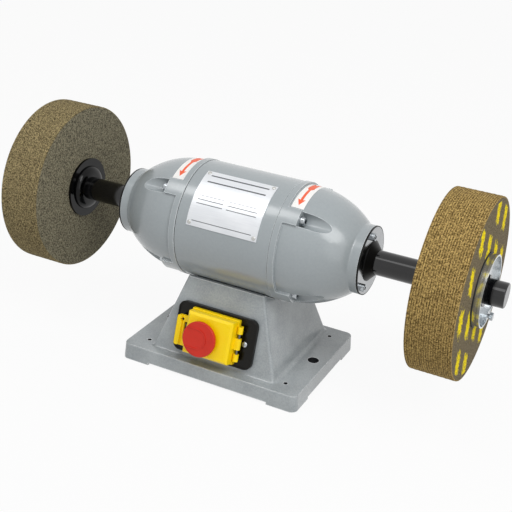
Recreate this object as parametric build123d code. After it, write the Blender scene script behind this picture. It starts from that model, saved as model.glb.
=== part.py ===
from build123d import *
import math
import os

# Double-ended bench polisher, millimetres, +Z up.
# X runs along the spindle, -Y is the operator's side, and the origin is the middle of the
# footprint on the bench. Angles round the spindle start at the front and rise to the top.

# Clearances
FIT = 0.02                  # pressed and seated round fits, on the radius
RUN = 0.10                  # running fits, on the radius
SLIDE = 0.30                # between plastic pieces that slide or swing
EASY = 0.50                 # round fasteners and cast pockets

# Spindle
AXIS_H = 164.5
SPINDLE_LEN = 604.0
SPINDLE_D = 28.0
JOURNAL_D = 30.0
ROTOR_SEAT_D = 36.0
SPINDLE_CHAMFER = 1.0

# Polishing wheels
WHEEL_D = 200.0
WHEEL_W = 50.0
WHEEL_BORE_D = 50.0
WHEEL_INSET = 51.5          # wheel's middle plane from the spindle's end
WHEEL_EDGE_R = 1.5

# Inner flanges, next to the motor
FLANGE_D = 72.5
FLANGE_RIM_T = 3.0
FLANGE_BULGE_D = 54.0
FLANGE_HUB_D = 31.0
FLANGE_HUB_LEN = 10.0
PILOT_LEN = 20.0
GRUB_D = 5.0
GRUB_LEN = 6.0
GRUB_SOCKET_AF = 2.5
GRUB_ANGLE = 250.0

# Outer flanges: rubber washer, cup, its balance screw and the retaining ring on the spindle
WASHER_D = 82.0
WASHER_T = 1.5
CUP_D = 80.0
CUP_WALL = 2.0
CUP_FLOOR_T = 2.5
CUP_DEPTH = 7.5
BALANCE_ANGLE = 253.0
BALANCE_R = 34.5
BALANCE_LUG_W = 10.0
BALANCE_LUG_R = 29.5        # inner side of the lug
BALANCE_D = 5.0
BALANCE_AF = 8.0
BALANCE_HEAD_T = 3.5
BALANCE_STAND = 2.0         # under the head
RETAINER_D = 35.0
RETAINER_T = 1.5
RETAINER_GROOVE = 0.8       # depth of its groove
RETAINER_GAP_W = 6.0

# Motor housing and its seat on the pedestal
HOUSING_D = 137.0
HOUSING_LEN = 116.6
HOUSING_WALL = 12.5
HOUSING_EDGE = 0.6
PAD_LEN = 94.0
PAD_W = 60.0
PAD_H = 3.0
MOTOR_BOLT_D = 8.0
MOTOR_BOLT_AF = 13.0
MOTOR_BOLT_HEAD_T = 5.3
MOTOR_BOLT_DEPTH = 13.0
MOTOR_BOLT_PITCH_X = 50.0
MOTOR_BOLT_PITCH_Y = 40.0

# End bells
BAND_W = 7.2
BAND_RISE = 0.7
BAND_STEP = 2.7
DOME_LEN = 74.0
DOME_SAG = 8.0              # of its arc over the chord
COLLAR_D = 78.0
COLLAR_LEN = 9.8
COLLAR_ROOT_R = 3.0
BELL_WALL = 5.0
SPIGOT_LEN = 6.0
LUG_W = 19.5
LUG_LEN = 16.0
LUG_ANGLE = 47.0
LUG_COUNT = 4
POCKET_W = 17.5
POCKET_DEPTH = 13.3         # floor below the housing's outside
BOSS_WALL = 4.0
BELL_SCREW_D = 6.0
BELL_SCREW_HEAD_D = 10.0
BELL_SCREW_HEAD_H = 6.0
BELL_SCREW_INSET = 7.3      # below the housing's outside
BELL_SCREW_DEPTH = 15.0

# Ball bearings
BEARING_D = 55.0
BEARING_W = 13.0
BEARING_DEPTH = 2.0         # outer face below the collar's end
BEARING_SHOULDER_T = 4.0
RACE_T = 3.6
BALL_D = 7.1
BALL_COUNT = 11
CAGE_T = 1.6
CAGE_W = 10.0

# Bearing caps
GASKET_T = 1.0
CAP_T = 1.0
CAP_CHAMFER = 0.3
GASKET_LIP = 0.7            # round the cap's rim
CAP_REGISTER_WALL = 3.0
CAP_SCREW_D = 5.0
CAP_SCREW_HEAD_D = 8.5
CAP_SCREW_HEAD_H = 5.0
CAP_SCREW_R = 32.6
CAP_SCREW_ANGLE = 76.0
CAP_SCREW_COUNT = 3
CAP_SCREW_DEPTH = 10.0
LOW_HEAD_D = 9.0            # left cap's screws
LOW_HEAD_H = 1.0
SEAL_WALL = 3.5
SEAL_CONE_R = 23.0          # on the cap's face
SEAL_CONE_LEN = 8.0
SEAL_CONE_EDGE = 0.6
SEAL_LIP = 0.6

# Motor active parts
STATOR_LEN = 70.0
STATOR_SHARE = 0.526        # of the room between the rotor's seat and the housing's bore
SLOT_COUNT = 24
SLOT_W = 4.6
SLOT_SHARE = 0.55           # of the stator's wall
WINDING_LEN = 14.0          # end turns, each side of the core
WINDING_SHARE = 0.7         # of the stator's wall
AIR_GAP = 0.5
END_RING_LEN = 8.0
END_RING_SHARE = 0.5        # ring's height over the rotor's

# Cast base
BASE_W = 225.0              # at the top
BASE_D = 171.0
BASE_DRAFT = 1.0
BASE_H = 20.0
BASE_CORNER_R = 8.0
BASE_EDGE_R = 1.0
FOOT_H = 3.0
FOOT_W = 36.0
BENCH_HOLE_D = 13.5
BENCH_HOLE_PITCH = 192.5
STAND_HOLE_D = 5.0
STAND_HOLE_PITCH_X = 180.0
STAND_HOLE_PITCH_Y = 127.0

# Cast pedestal
PED_Y = 2.0                 # middle of the pedestal behind the spindle
PED_BOTTOM_W = 158.5
PED_BOTTOM_D = 149.0
PED_TOP_W = 98.0
PED_TOP_D = 100.4
PED_TOP_H = 110.7
PED_EDGE_R = 3.0
PED_FILLET_R = 5.0
PED_WALL = 7.0
DECK_T = 8.0
SADDLE_GAP = 1.0
COVER_T = 1.2
COVER_LAP = 5.0
COVER_SCREW_D = 3.0
COVER_SCREW_HEAD_H = 1.2
COVER_SCREW_DEPTH = 8.0

# Rating plate on the housing
PLATE_X0 = -44.5
PLATE_X1 = 42.5
PLATE_ANGLE0 = 15.3
PLATE_ANGLE1 = 74.3
PLATE_T = 0.8
RIVET_D = 2.4
RIVET_HEAD_D = 4.6
RIVET_HEAD_H = 1.2
RIVET_INSET = 3.6
RIVET_DEPTH = 5.0

# Switch: back plate, frame, flap and buttons, on the sloped front of the pedestal
SWITCH_X = -0.7
SWITCH_Z = 54.8
SWITCH_PLATE_W = 101.5
SWITCH_PLATE_H = 59.0
SWITCH_PLATE_T = 5.0
SWITCH_PLATE_R = 9.0
SWITCH_RIM_W = 2.0
SWITCH_RIM_T = 0.8
SWITCH_SCREW_D = 4.0
SWITCH_SCREW_HEAD_D = 7.0
SWITCH_SCREW_HEAD_H = 2.4
SWITCH_SCREW_PITCH = 78.0
SWITCH_SCREW_DEPTH = 9.0
FRAME_W = 60.0
FRAME_H = 52.0
FRAME_T = 6.0
BLOCK_W = 62.0
BLOCK_H = 38.0
BLOCK_DEPTH = 36.0
BUTTON_W = 17.0
BUTTON_H = 24.0
BUTTON_PITCH = 21.0
BUTTON_STAND = 2.0          # above the frame
BUTTON_LIP = 1.5
BUTTON_TRAVEL = 3.0
PLUNGER_D = 6.0
PLUNGER_LEN = 10.0
FLAP_W = 57.0
FLAP_H = 49.0
FLAP_FRONT = 24.5           # front face above the pedestal
FLAP_DRAFT = 1.2
FLAP_WALL = 2.2
FLAP_CHAMFER = 2.6
TAB_W = 16.2
TAB_H = 36.0
TAB_DROP = 2.8              # middle of the tab below the middle of the flap
TAB_T = 2.6
TAB_R = 5.0
TAB_BAR_W = 6.0
TAB_BAR_T = 2.6
TAB_SLOT_W = 5.0
TAB_SLOT_H = 21.0
TAB_SLOT_R = 1.6
PADLOCK_HOLE_D = 3.6
PIN_D = 3.0
KNUCKLE_D = 6.4
KNUCKLE_LEN = 8.5           # frame's two, at the ends
FLAP_KNUCKLE_LEN = 13.0
KNUCKLE_SPAN = 41.0
HINGE_H = 11.6              # hinge axis above the pedestal
MUSHROOM_D = 41.0
MUSHROOM_T = 3.5
MUSHROOM_X = -6.9           # from the switch's middle
MUSHROOM_Y = -2.6
MUSHROOM_GAP = 3.5          # under the head when released
MUSHROOM_EDGE_R = 1.2
STEM_D = 10.0
CLIP_D = 15.0
CLIP_T = 1.6
MARK_R = 12.0
MARK_X = -2.5               # middle of its round end, from the mushroom's middle
MARK_LEN = 12.5
MARK_RIB = 1.3
MARK_RAISE = 0.7

# Cable gland on the back of the pedestal, and the lead from motor to switch
GLAND_Z = 52.0
GLAND_D = 16.0
GLAND_AF = 22.0
GLAND_COLLAR_T = 6.0
GLAND_CAP_D = 20.0
GLAND_CAP_LEN = 15.0
GLAND_CAP_R = 3.3
GLAND_BORE_D = 9.0
GLAND_NUT_T = 5.0
LEAD_D = 6.5
LEAD_X = 42.0
LEAD_BEND_R = 10.0
LEAD_END_RUN = 25.0
LEAD_DROP = 50.0
LEAD_ENTRY = 20.0           # beside the middle of the contactor's back

# Worked out from the sizes above
HOUSING_R = HOUSING_D / 2
HOUSING_BORE_D = HOUSING_D - 2 * HOUSING_WALL
STATOR_WALL = (HOUSING_BORE_D - ROTOR_SEAT_D) / 2 * STATOR_SHARE
STATOR_BORE_D = HOUSING_BORE_D - 2 * STATOR_WALL
SLOT_DEPTH = STATOR_WALL * SLOT_SHARE
WINDING_T = STATOR_WALL * WINDING_SHARE
ROTOR_R = STATOR_BORE_D / 2 - AIR_GAP
END_RING_T = (ROTOR_R - ROTOR_SEAT_D / 2) * END_RING_SHARE
BELL_SCREW_R = HOUSING_R - BELL_SCREW_INSET
POCKET_FLOOR_R = HOUSING_R - POCKET_DEPTH
POCKET_R = POCKET_FLOOR_R + POCKET_W / 2
SEAM_X = HOUSING_LEN / 2
BAND_X = SEAM_X + BAND_W
LUG_X = BAND_X + LUG_LEN
BAND_R = HOUSING_R + BAND_RISE
DOME_R0 = BAND_R - BAND_STEP
DOME_R1 = COLLAR_D / 2
DOME_X1 = BAND_X + DOME_LEN
COLLAR_X1 = DOME_X1 + COLLAR_LEN
DOME_DROP = DOME_R0 - DOME_R1
DOME_CHORD = math.hypot(DOME_LEN, DOME_DROP)
DOME_ARC_R = (DOME_CHORD**2 / 4 + DOME_SAG**2) / (2 * DOME_SAG)
DOME_CENTRE_X = (BAND_X + DOME_X1) / 2 - (DOME_ARC_R - DOME_SAG) * DOME_DROP / DOME_CHORD
DOME_CENTRE_R = (DOME_R0 + DOME_R1) / 2 - (DOME_ARC_R - DOME_SAG) * DOME_LEN / DOME_CHORD
BEARING_X1 = COLLAR_X1 - BEARING_DEPTH
BEARING_X0 = BEARING_X1 - BEARING_W
CAP_X0 = COLLAR_X1 + GASKET_T
CAP_X1 = CAP_X0 + CAP_T
PITCH_R = (JOURNAL_D + BEARING_D) / 4
BORE_R = BEARING_D / 2 - RACE_T
WHEEL_X = SPINDLE_LEN / 2 - WHEEL_INSET
WHEEL_X0 = WHEEL_X - WHEEL_W / 2
WHEEL_X1 = WHEEL_X + WHEEL_W / 2
CUP_X0 = WHEEL_X1 + WASHER_T
CUP_FLOOR_X = CUP_X0 + CUP_FLOOR_T
CUP_X1 = CUP_X0 + CUP_DEPTH
SEAT_Z = AXIS_H - HOUSING_R - PAD_H
DECK_Z = SEAT_Z - DECK_T
PED_RISE = PED_TOP_H - BASE_H
MOUTH_W = PED_BOTTOM_W - 2 * PED_WALL
MOUTH_D = PED_BOTTOM_D - 2 * PED_WALL
SLOPE_Y = (PED_BOTTOM_D - PED_TOP_D) / 2 / PED_RISE
SLOPE_X = (PED_BOTTOM_W - PED_TOP_W) / 2 / PED_RISE
SLOPE_ANGLE = math.degrees(math.atan(SLOPE_Y))
FRAME_TOP = SWITCH_PLATE_T + FRAME_T
FLAP_RIM = FRAME_TOP + SLIDE
HINGE_X = FRAME_W / 2 + KNUCKLE_D / 2 + SLIDE
BUTTON_TOP = FRAME_TOP + BUTTON_STAND
HEAD_UNDER = FLAP_FRONT + MUSHROOM_GAP
LEAD_HOLE_D = LEAD_D + 2 * EASY
THROUGH = 400.0             # longer than any cut needs
SOCKET_RATIO = 0.8          # hexagon socket across flats over thread diameter
SOCKET_EDGE = 0.1           # chamfer of a socket head over its height
PAN_ROUND = 0.6             # rounding of a pan head over its height
CROSS_LEN = 0.55            # cross recess over head diameter
CROSS_W = 0.14
RIVET_ROUND = 0.8           # rounding of a rivet head over its height

FRONT_PLANE = Plane(
    origin=(SWITCH_X, PED_Y - PED_BOTTOM_D / 2 + (SWITCH_Z - BASE_H) * SLOPE_Y, SWITCH_Z),
    x_dir=(1, 0, 0),
    z_dir=(0, -math.cos(math.radians(SLOPE_ANGLE)), math.sin(math.radians(SLOPE_ANGLE))),
)
BACK_PLANE = Plane(
    origin=(0, PED_Y + PED_BOTTOM_D / 2 - (GLAND_Z - BASE_H) * SLOPE_Y, GLAND_Z),
    x_dir=(-1, 0, 0),
    z_dir=(0, math.cos(math.radians(SLOPE_ANGLE)), math.sin(math.radians(SLOPE_ANGLE))),
)


def save(node, *shapes):
    """Write the node's solids to its own file."""
    solids = [solid for shape in shapes for solid in shape.solids()]
    export_step(solids[0] if len(solids) == 1 else Compound(solids), f"parts/{node}.step")


def on_axis(shape):
    """Lift a shape made round the X axis to the spindle's height."""
    return Pos(0, 0, AXIS_H) * shape


def turned(*points):
    """Solid turned about the spindle from straight runs through (x, radius) points."""
    return on_axis(revolve(make_face(Polyline(*points, close=True)), Axis.X))


def ring(x0, x1, outer_r, inner_r):
    """Plain turned ring on the spindle's axis."""
    return turned((x0, inner_r), (x1, inner_r), (x1, outer_r), (x0, outer_r))


def bar(x0, x1, radius, centre_r=0.0):
    """Round bar parallel to the spindle, above it by centre_r."""
    return Pos((x0 + x1) / 2, 0, AXIS_H + centre_r) * Rot(Y=90) * Cylinder(radius, x1 - x0)


def block(x0, x1, y0, y1, z0, z1):
    """Box between two corners."""
    return Pos((x0 + x1) / 2, (y0 + y1) / 2, (z0 + z1) / 2) * Box(x1 - x0, y1 - y0, z1 - z0)


def at_angle(shape, angle):
    """Turn a shape made above the spindle round to an angle from the front."""
    return on_axis(Rot(X=90 - angle) * Pos(0, 0, -AXIS_H) * shape)


def around(shape, first, count):
    """Copies of a shape made above the spindle, evenly spaced from the first angle."""
    return [at_angle(shape, first + 360 / count * index) for index in range(count)]


def left_of(shape):
    """Mirror image of a right-hand piece."""
    return mirror(shape, Plane.YZ)


def pattern(places, outline):
    """One sketch with the outline at every place."""
    return Sketch() + [place * outline for place in places]


def copies(carrier, places, piece):
    """Copies of a piece at the places on a carrier plane."""
    return [carrier * place * piece for place in places]


def socket_screw(thread_d, head_d, head_h, reach):
    """Socket head screw that sits on z = 0 and reaches down."""
    socket = RegularPolygon(thread_d * SOCKET_RATIO / 2, 6, major_radius=False)
    head = extrude(Circle(head_d / 2), head_h)
    head = chamfer(head.edges().sort_by(Axis.Z)[-1], head_h * SOCKET_EDGE)
    head -= Pos(0, 0, head_h / 2) * extrude(socket, head_h)
    return head + extrude(Circle(thread_d / 2), -reach)


def pan_screw(thread_d, head_d, head_h, reach):
    """Cross recessed pan head screw that sits on z = 0 and reaches down."""
    head = extrude(Circle(head_d / 2), head_h)
    head = fillet(head.edges().sort_by(Axis.Z)[-1], head_h * PAN_ROUND)
    slot = Rectangle(head_d * CROSS_LEN, head_d * CROSS_W)
    recess = slot + Rot(Z=90) * slot
    head -= Pos(0, 0, head_h / 2) * extrude(recess, head_h)
    return head + extrude(Circle(thread_d / 2), -reach)


def hex_bolt(thread_d, flats, head_t, reach):
    """Hexagon bolt that sits on z = 0 and reaches down."""
    head = extrude(RegularPolygon(flats / 2, 6, major_radius=False), head_t)
    return head + extrude(Circle(thread_d / 2), -reach)


def outward_x(x, radius):
    """Plane across the spindle that faces right, above the axis by radius."""
    return Plane(origin=(x, 0, AXIS_H + radius), x_dir=(0, 1, 0), z_dir=(1, 0, 0))


# Base and pedestal
def half_width(z):
    """Half the pedestal's outside width in X at a height."""
    return PED_BOTTOM_W / 2 - (z - BASE_H) * SLOPE_X


def half_depth(z):
    """Half the pedestal's outside depth in Y at a height."""
    return PED_BOTTOM_D / 2 - (z - BASE_H) * SLOPE_Y


def frustum(z0, z1, inset):
    """Pedestal's tapered body between two heights, drawn in by inset."""
    sections = []
    for z in (z0, z1):
        outline = RectangleRounded(2 * (half_width(z) - inset), 2 * (half_depth(z) - inset), PED_EDGE_R)
        sections.append(Pos(0, PED_Y, z) * outline)
    return loft(sections)


def motor_bolt_places():
    """Where the four motor bolts stand, at the seat."""
    return GridLocations(MOTOR_BOLT_PITCH_X, MOTOR_BOLT_PITCH_Y, 2, 2)


def cover_screw_places():
    """Where the cover's four screws stand, beside the mouth of the pedestal."""
    return [Pos(0, PED_Y) * place for place in GridLocations(MOUTH_W + COVER_LAP, MOUTH_D / 2, 2, 2)]


def switch_screw_places():
    """Where the two switch screws stand, on the front plane."""
    return GridLocations(SWITCH_SCREW_PITCH, 0, 2, 1)


def base_pedestal():
    foot_line = RectangleRounded(BASE_W + 2 * BASE_DRAFT, BASE_D + 2 * BASE_DRAFT, BASE_CORNER_R)
    top_line = RectangleRounded(BASE_W, BASE_D, BASE_CORNER_R)
    slab = loft([Pos(0, 0, FOOT_H) * foot_line, Pos(0, 0, BASE_H) * top_line])
    slab = fillet(slab.edges().group_by(Axis.Z)[-1], BASE_EDGE_R)
    corners = GridLocations(BASE_W + 2 * BASE_DRAFT - FOOT_W, BASE_D + 2 * BASE_DRAFT - FOOT_W, 2, 2)
    feet = extrude(foot_line, FOOT_H) & extrude(pattern(corners, Rectangle(FOOT_W, FOOT_W)), FOOT_H)
    body = slab + frustum(BASE_H - FOOT_H, PED_TOP_H, 0)
    root = [edge for edge in body.edges() if is_root_edge(edge)]
    body = fillet(root, PED_FILLET_R) + feet
    body -= frustum(BASE_H, DECK_Z, PED_WALL)
    body -= Pos(0, PED_Y) * extrude(RectangleRounded(MOUTH_W, MOUTH_D, PED_EDGE_R), BASE_H)
    body -= bar(-THROUGH, THROUGH, HOUSING_R + SADDLE_GAP)
    body -= block(
        -PAD_LEN / 2 - EASY, PAD_LEN / 2 + EASY, -PAD_W / 2 - EASY, PAD_W / 2 + EASY, SEAT_Z, AXIS_H
    )
    bolt_holes = pattern(motor_bolt_places(), Circle(MOTOR_BOLT_D / 2 + EASY))
    body -= Pos(0, 0, SEAT_Z) * extrude(bolt_holes, -DECK_T)
    body -= Pos(LEAD_X, 0, SEAT_Z) * extrude(Circle(LEAD_HOLE_D / 2), -DECK_T)
    body -= extrude(pattern(GridLocations(BENCH_HOLE_PITCH, 0, 2, 1), Circle(BENCH_HOLE_D / 2)), BASE_H)
    stand = GridLocations(STAND_HOLE_PITCH_X, STAND_HOLE_PITCH_Y, 2, 2)
    body -= extrude(pattern(stand, Circle(STAND_HOLE_D / 2)), BASE_H)
    tapped = pattern(cover_screw_places(), Circle(COVER_SCREW_D / 2 + FIT))
    body -= Pos(0, 0, FOOT_H) * extrude(tapped, COVER_SCREW_DEPTH)
    window = Rectangle(BLOCK_W + 2 * EASY, BLOCK_H + 2 * EASY)
    body -= FRONT_PLANE * extrude(window, -2 * PED_WALL)
    tapped = pattern(switch_screw_places(), Circle(SWITCH_SCREW_D / 2 + FIT))
    body -= FRONT_PLANE * extrude(tapped, -2 * PED_WALL)
    body -= BACK_PLANE * extrude(Circle(GLAND_D / 2 + RUN), -2 * PED_WALL)
    return body


def is_root_edge(edge):
    """Whether an edge runs where the pedestal grows out of the slab's top."""
    box = edge.bounding_box()
    level = abs(box.min.Z - BASE_H) < FIT and abs(box.max.Z - BASE_H) < FIT
    middle = edge.center()
    within_x = abs(middle.X) < half_width(BASE_H) + FIT
    return level and within_x and abs(middle.Y - PED_Y) < half_depth(BASE_H) + FIT


def bottom_cover():
    outline = Pos(0, PED_Y) * RectangleRounded(MOUTH_W + 2 * COVER_LAP, MOUTH_D + 2 * COVER_LAP, PED_EDGE_R)
    plate = Pos(0, 0, FOOT_H - COVER_T) * extrude(outline, COVER_T)
    holes = pattern(cover_screw_places(), Circle(COVER_SCREW_D / 2 + RUN))
    return plate - Pos(0, 0, FOOT_H - COVER_T) * extrude(holes, COVER_T)


def cover_screws():
    screw = pan_screw(COVER_SCREW_D, 2 * COVER_SCREW_D, COVER_SCREW_HEAD_H, COVER_T + COVER_SCREW_DEPTH)
    return copies(Pos(0, 0, FOOT_H - COVER_T), cover_screw_places(), Rot(X=180) * screw)


# Motor
def motor_housing():
    body = bar(-SEAM_X, SEAM_X, HOUSING_R)
    body = chamfer(body.edges().filter_by(GeomType.CIRCLE), HOUSING_EDGE)
    body += block(-PAD_LEN / 2, PAD_LEN / 2, -PAD_W / 2, PAD_W / 2, SEAT_Z, AXIS_H)
    body -= bar(-THROUGH, THROUGH, HOUSING_BORE_D / 2)
    tapped = pattern(motor_bolt_places(), Circle(MOTOR_BOLT_D / 2 + FIT))
    body -= Pos(0, 0, SEAT_Z) * extrude(tapped, MOTOR_BOLT_DEPTH)
    body -= Pos(LEAD_X, 0, SEAT_Z) * extrude(Circle(LEAD_HOLE_D / 2), AXIS_H - SEAT_Z)
    hole = bar(SEAM_X - BELL_SCREW_DEPTH, SEAM_X, BELL_SCREW_D / 2 + FIT, BELL_SCREW_R)
    for tap in around(hole, LUG_ANGLE, LUG_COUNT):
        body = body - tap - left_of(tap)
    for rivet in rivet_places():
        body -= rivet * extrude(Circle(RIVET_D / 2 + FIT), -RIVET_DEPTH)
    return body


def motor_bolts():
    bolt = hex_bolt(MOTOR_BOLT_D, MOTOR_BOLT_AF, MOTOR_BOLT_HEAD_T, DECK_T + MOTOR_BOLT_DEPTH - EASY)
    return copies(Pos(0, 0, DECK_Z), motor_bolt_places(), Rot(X=180) * bolt)


def dome_r(x, wall):
    """Radius of the bell's dome at x, wall in from its outside."""
    return DOME_CENTRE_R + math.sqrt((DOME_ARC_R - wall)**2 - (x - DOME_CENTRE_X)**2)


def dome_arc(x1, wall):
    """Arc of the dome's profile from the band to x1, wall in from its outside."""
    middle = (BAND_X + x1) / 2
    points = [(x, dome_r(x, wall)) for x in (BAND_X, middle, x1)]
    return ThreePointArc(*points)


def bell_outside():
    """Solid dome with its band, collar and the spigot that enters the housing."""
    spigot_r = HOUSING_BORE_D / 2 - FIT
    before = Polyline(
        (COLLAR_X1, 0), (SEAM_X - SPIGOT_LEN, 0), (SEAM_X - SPIGOT_LEN, spigot_r), (SEAM_X, spigot_r),
        (SEAM_X, BAND_R - HOUSING_EDGE), (SEAM_X + HOUSING_EDGE, BAND_R), (BAND_X, BAND_R),
        (BAND_X, DOME_R0),
    )
    after = Polyline((DOME_X1, DOME_R1), (COLLAR_X1, DOME_R1), (COLLAR_X1, 0))
    profile = before + dome_arc(DOME_X1, 0) + after
    body = on_axis(revolve(make_face(profile.edges()), Axis.X))
    root = [edge for edge in body.edges() if abs(edge.center().X - DOME_X1) < FIT]
    return fillet(root, COLLAR_ROOT_R)


def bell_cavity():
    """Hollow of the bell behind the bearing, open to the housing."""
    web_x = BEARING_X0 - BEARING_SHOULDER_T
    mouth_r = HOUSING_BORE_D / 2 - FIT - BELL_WALL
    start = Polyline(
        (web_x, 0), (SEAM_X - SPIGOT_LEN, 0), (SEAM_X - SPIGOT_LEN, mouth_r), (BAND_X, mouth_r),
        (BAND_X, dome_r(BAND_X, BELL_WALL)),
    )
    profile = start + dome_arc(web_x, BELL_WALL) + Line((web_x, dome_r(web_x, BELL_WALL)), (web_x, 0))
    return on_axis(revolve(make_face(profile.edges()), Axis.X))


def end_bell():
    outside = bell_outside()
    body = outside - bell_cavity()
    lug = block(BAND_X - EASY, LUG_X, -LUG_W / 2, LUG_W / 2, AXIS_H, AXIS_H + HOUSING_D)
    lug &= bar(SEAM_X, COLLAR_X1, BAND_R)
    lug &= block(BAND_X - EASY, LUG_X, -LUG_W, LUG_W, AXIS_H + POCKET_FLOOR_R, AXIS_H + HOUSING_D)
    boss_w = POCKET_W / 2 + BOSS_WALL
    boss_r = POCKET_FLOOR_R - BOSS_WALL
    boss = block(SEAM_X, COLLAR_X1, -boss_w, boss_w, AXIS_H + boss_r, AXIS_H + HOUSING_D) & outside
    pocket = bar(LUG_X, COLLAR_X1, POCKET_W / 2, POCKET_R)
    pocket += block(LUG_X, COLLAR_X1, -POCKET_W / 2, POCKET_W / 2, AXIS_H + POCKET_R, AXIS_H + HOUSING_D)
    hole = bar(SEAM_X, LUG_X, BELL_SCREW_D / 2 + RUN, BELL_SCREW_R)
    for shape in around(lug + boss, LUG_ANGLE, LUG_COUNT):
        body += shape
    for cut in around(pocket + hole, LUG_ANGLE, LUG_COUNT):
        body -= cut
    body -= bar(BEARING_X0, COLLAR_X1, BEARING_D / 2 + FIT)
    body -= bar(SEAM_X, COLLAR_X1, BORE_R)
    tap = bar(COLLAR_X1 - CAP_SCREW_DEPTH, COLLAR_X1, CAP_SCREW_D / 2 + FIT, CAP_SCREW_R)
    for cut in around(tap, CAP_SCREW_ANGLE, CAP_SCREW_COUNT):
        body -= cut
    return body


def bell_screws():
    reach = LUG_X - SEAM_X + BELL_SCREW_DEPTH - EASY
    screw = socket_screw(BELL_SCREW_D, BELL_SCREW_HEAD_D, BELL_SCREW_HEAD_H, reach)
    return around(outward_x(LUG_X, BELL_SCREW_R) * screw, LUG_ANGLE, LUG_COUNT)


def stator_core():
    core = ring(-STATOR_LEN / 2, STATOR_LEN / 2, HOUSING_BORE_D / 2 - FIT, STATOR_BORE_D / 2)
    slot_r = STATOR_BORE_D / 2
    slot = block(
        -STATOR_LEN, STATOR_LEN, -SLOT_W / 2, SLOT_W / 2,
        AXIS_H + slot_r - EASY, AXIS_H + slot_r + SLOT_DEPTH,
    )
    for cut in around(slot, 0, SLOT_COUNT):
        core -= cut
    return core


def stator_winding():
    """Slot bars joined by an end turn ring at each side of the core."""
    inner_r = STATOR_BORE_D / 2 + EASY
    half = STATOR_LEN / 2
    outer_r = inner_r + WINDING_T
    end_turn = ring(half, half + WINDING_LEN, outer_r, inner_r)
    body = end_turn + left_of(end_turn)
    width = SLOT_W / 2 - RUN
    top_r = STATOR_BORE_D / 2 + SLOT_DEPTH - RUN
    conductor = block(-half - EASY, half + EASY, -width, width, AXIS_H + inner_r + EASY, AXIS_H + top_r)
    for piece in around(conductor, 0, SLOT_COUNT):
        body += piece
    return body


def rotor_core():
    return ring(-STATOR_LEN / 2, STATOR_LEN / 2, ROTOR_R, ROTOR_SEAT_D / 2 + FIT)


def rotor_end_rings():
    outer_r = ROTOR_R - EASY
    right = ring(STATOR_LEN / 2, STATOR_LEN / 2 + END_RING_LEN, outer_r, outer_r - END_RING_T)
    return right, left_of(right)


def spindle():
    half = SPINDLE_LEN / 2
    end_r = SPINDLE_D / 2
    groove_x = CUP_FLOOR_X + RETAINER_T + RUN
    groove_r = end_r - RETAINER_GROOVE
    steps = [
        (half, 0), (half, end_r - SPINDLE_CHAMFER), (half - SPINDLE_CHAMFER, end_r), (groove_x, end_r),
        (groove_x, groove_r), (CUP_FLOOR_X, groove_r), (CUP_FLOOR_X, end_r), (COLLAR_X1, end_r),
        (COLLAR_X1, JOURNAL_D / 2), (BEARING_X0, JOURNAL_D / 2), (BEARING_X0, ROTOR_SEAT_D / 2),
    ]
    return turned(*steps, *[(-x, radius) for x, radius in reversed(steps)])


# Bearings
def raceway():
    """Round groove that the balls run in, cut out of both races."""
    return Pos((BEARING_X0 + BEARING_X1) / 2, 0, AXIS_H) * Rot(Y=90) * Torus(PITCH_R, BALL_D / 2 + RUN)


def bearing_outer():
    return ring(BEARING_X0, BEARING_X1, BEARING_D / 2, BEARING_D / 2 - RACE_T) - raceway()


def bearing_inner():
    return ring(BEARING_X0, BEARING_X1, JOURNAL_D / 2 + RACE_T, JOURNAL_D / 2 + FIT) - raceway()


def ball_place(radius):
    """Ball at the top of the bearing."""
    return Pos((BEARING_X0 + BEARING_X1) / 2, 0, AXIS_H + PITCH_R) * Sphere(radius)


def bearing_balls():
    return around(ball_place(BALL_D / 2), 0, BALL_COUNT)


def bearing_cage():
    middle = (BEARING_X0 + BEARING_X1) / 2
    cage = ring(middle - CAGE_W / 2, middle + CAGE_W / 2, PITCH_R + CAGE_T / 2, PITCH_R - CAGE_T / 2)
    for hole in around(ball_place(BALL_D / 2 + RUN), 0, BALL_COUNT):
        cage -= hole
    return cage


def cap_gasket():
    """Flat ring under the cap, with a lip round the cap's rim."""
    body = ring(COLLAR_X1, CAP_X0, COLLAR_D / 2, BEARING_D / 2)
    body += ring(CAP_X0, CAP_X1, COLLAR_D / 2, COLLAR_D / 2 - GASKET_LIP)
    hole = bar(COLLAR_X1, CAP_X0, CAP_SCREW_D / 2 + RUN, CAP_SCREW_R)
    for cut in around(hole, CAP_SCREW_ANGLE, CAP_SCREW_COUNT):
        body -= cut
    return body


def seal_r():
    """Outside radius of the shaft seal and of its seat in the cap."""
    return SPINDLE_D / 2 + RUN + SEAL_WALL


def bearing_cap():
    register_r = BEARING_D / 2 - RUN
    register_inner = register_r - CAP_REGISTER_WALL
    rim_r = COLLAR_D / 2 - GASKET_LIP - FIT
    body = turned(
        (BEARING_X1, register_inner), (BEARING_X1, register_r), (CAP_X0, register_r), (CAP_X0, rim_r),
        (CAP_X1 - CAP_CHAMFER, rim_r), (CAP_X1, rim_r - CAP_CHAMFER), (CAP_X1, seal_r() + FIT),
        (CAP_X0, seal_r() + FIT), (CAP_X0, register_inner),
    )
    hole = bar(CAP_X0, CAP_X1, CAP_SCREW_D / 2 + RUN, CAP_SCREW_R)
    for cut in around(hole, CAP_SCREW_ANGLE, CAP_SCREW_COUNT):
        body -= cut
    return body


def cap_screw_reach():
    """Length of a cap screw under its head."""
    return CAP_X1 - COLLAR_X1 + CAP_SCREW_DEPTH - EASY


def right_cap_screws():
    screw = socket_screw(CAP_SCREW_D, CAP_SCREW_HEAD_D, CAP_SCREW_HEAD_H, cap_screw_reach())
    return around(outward_x(CAP_X1, CAP_SCREW_R) * screw, CAP_SCREW_ANGLE, CAP_SCREW_COUNT)


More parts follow.
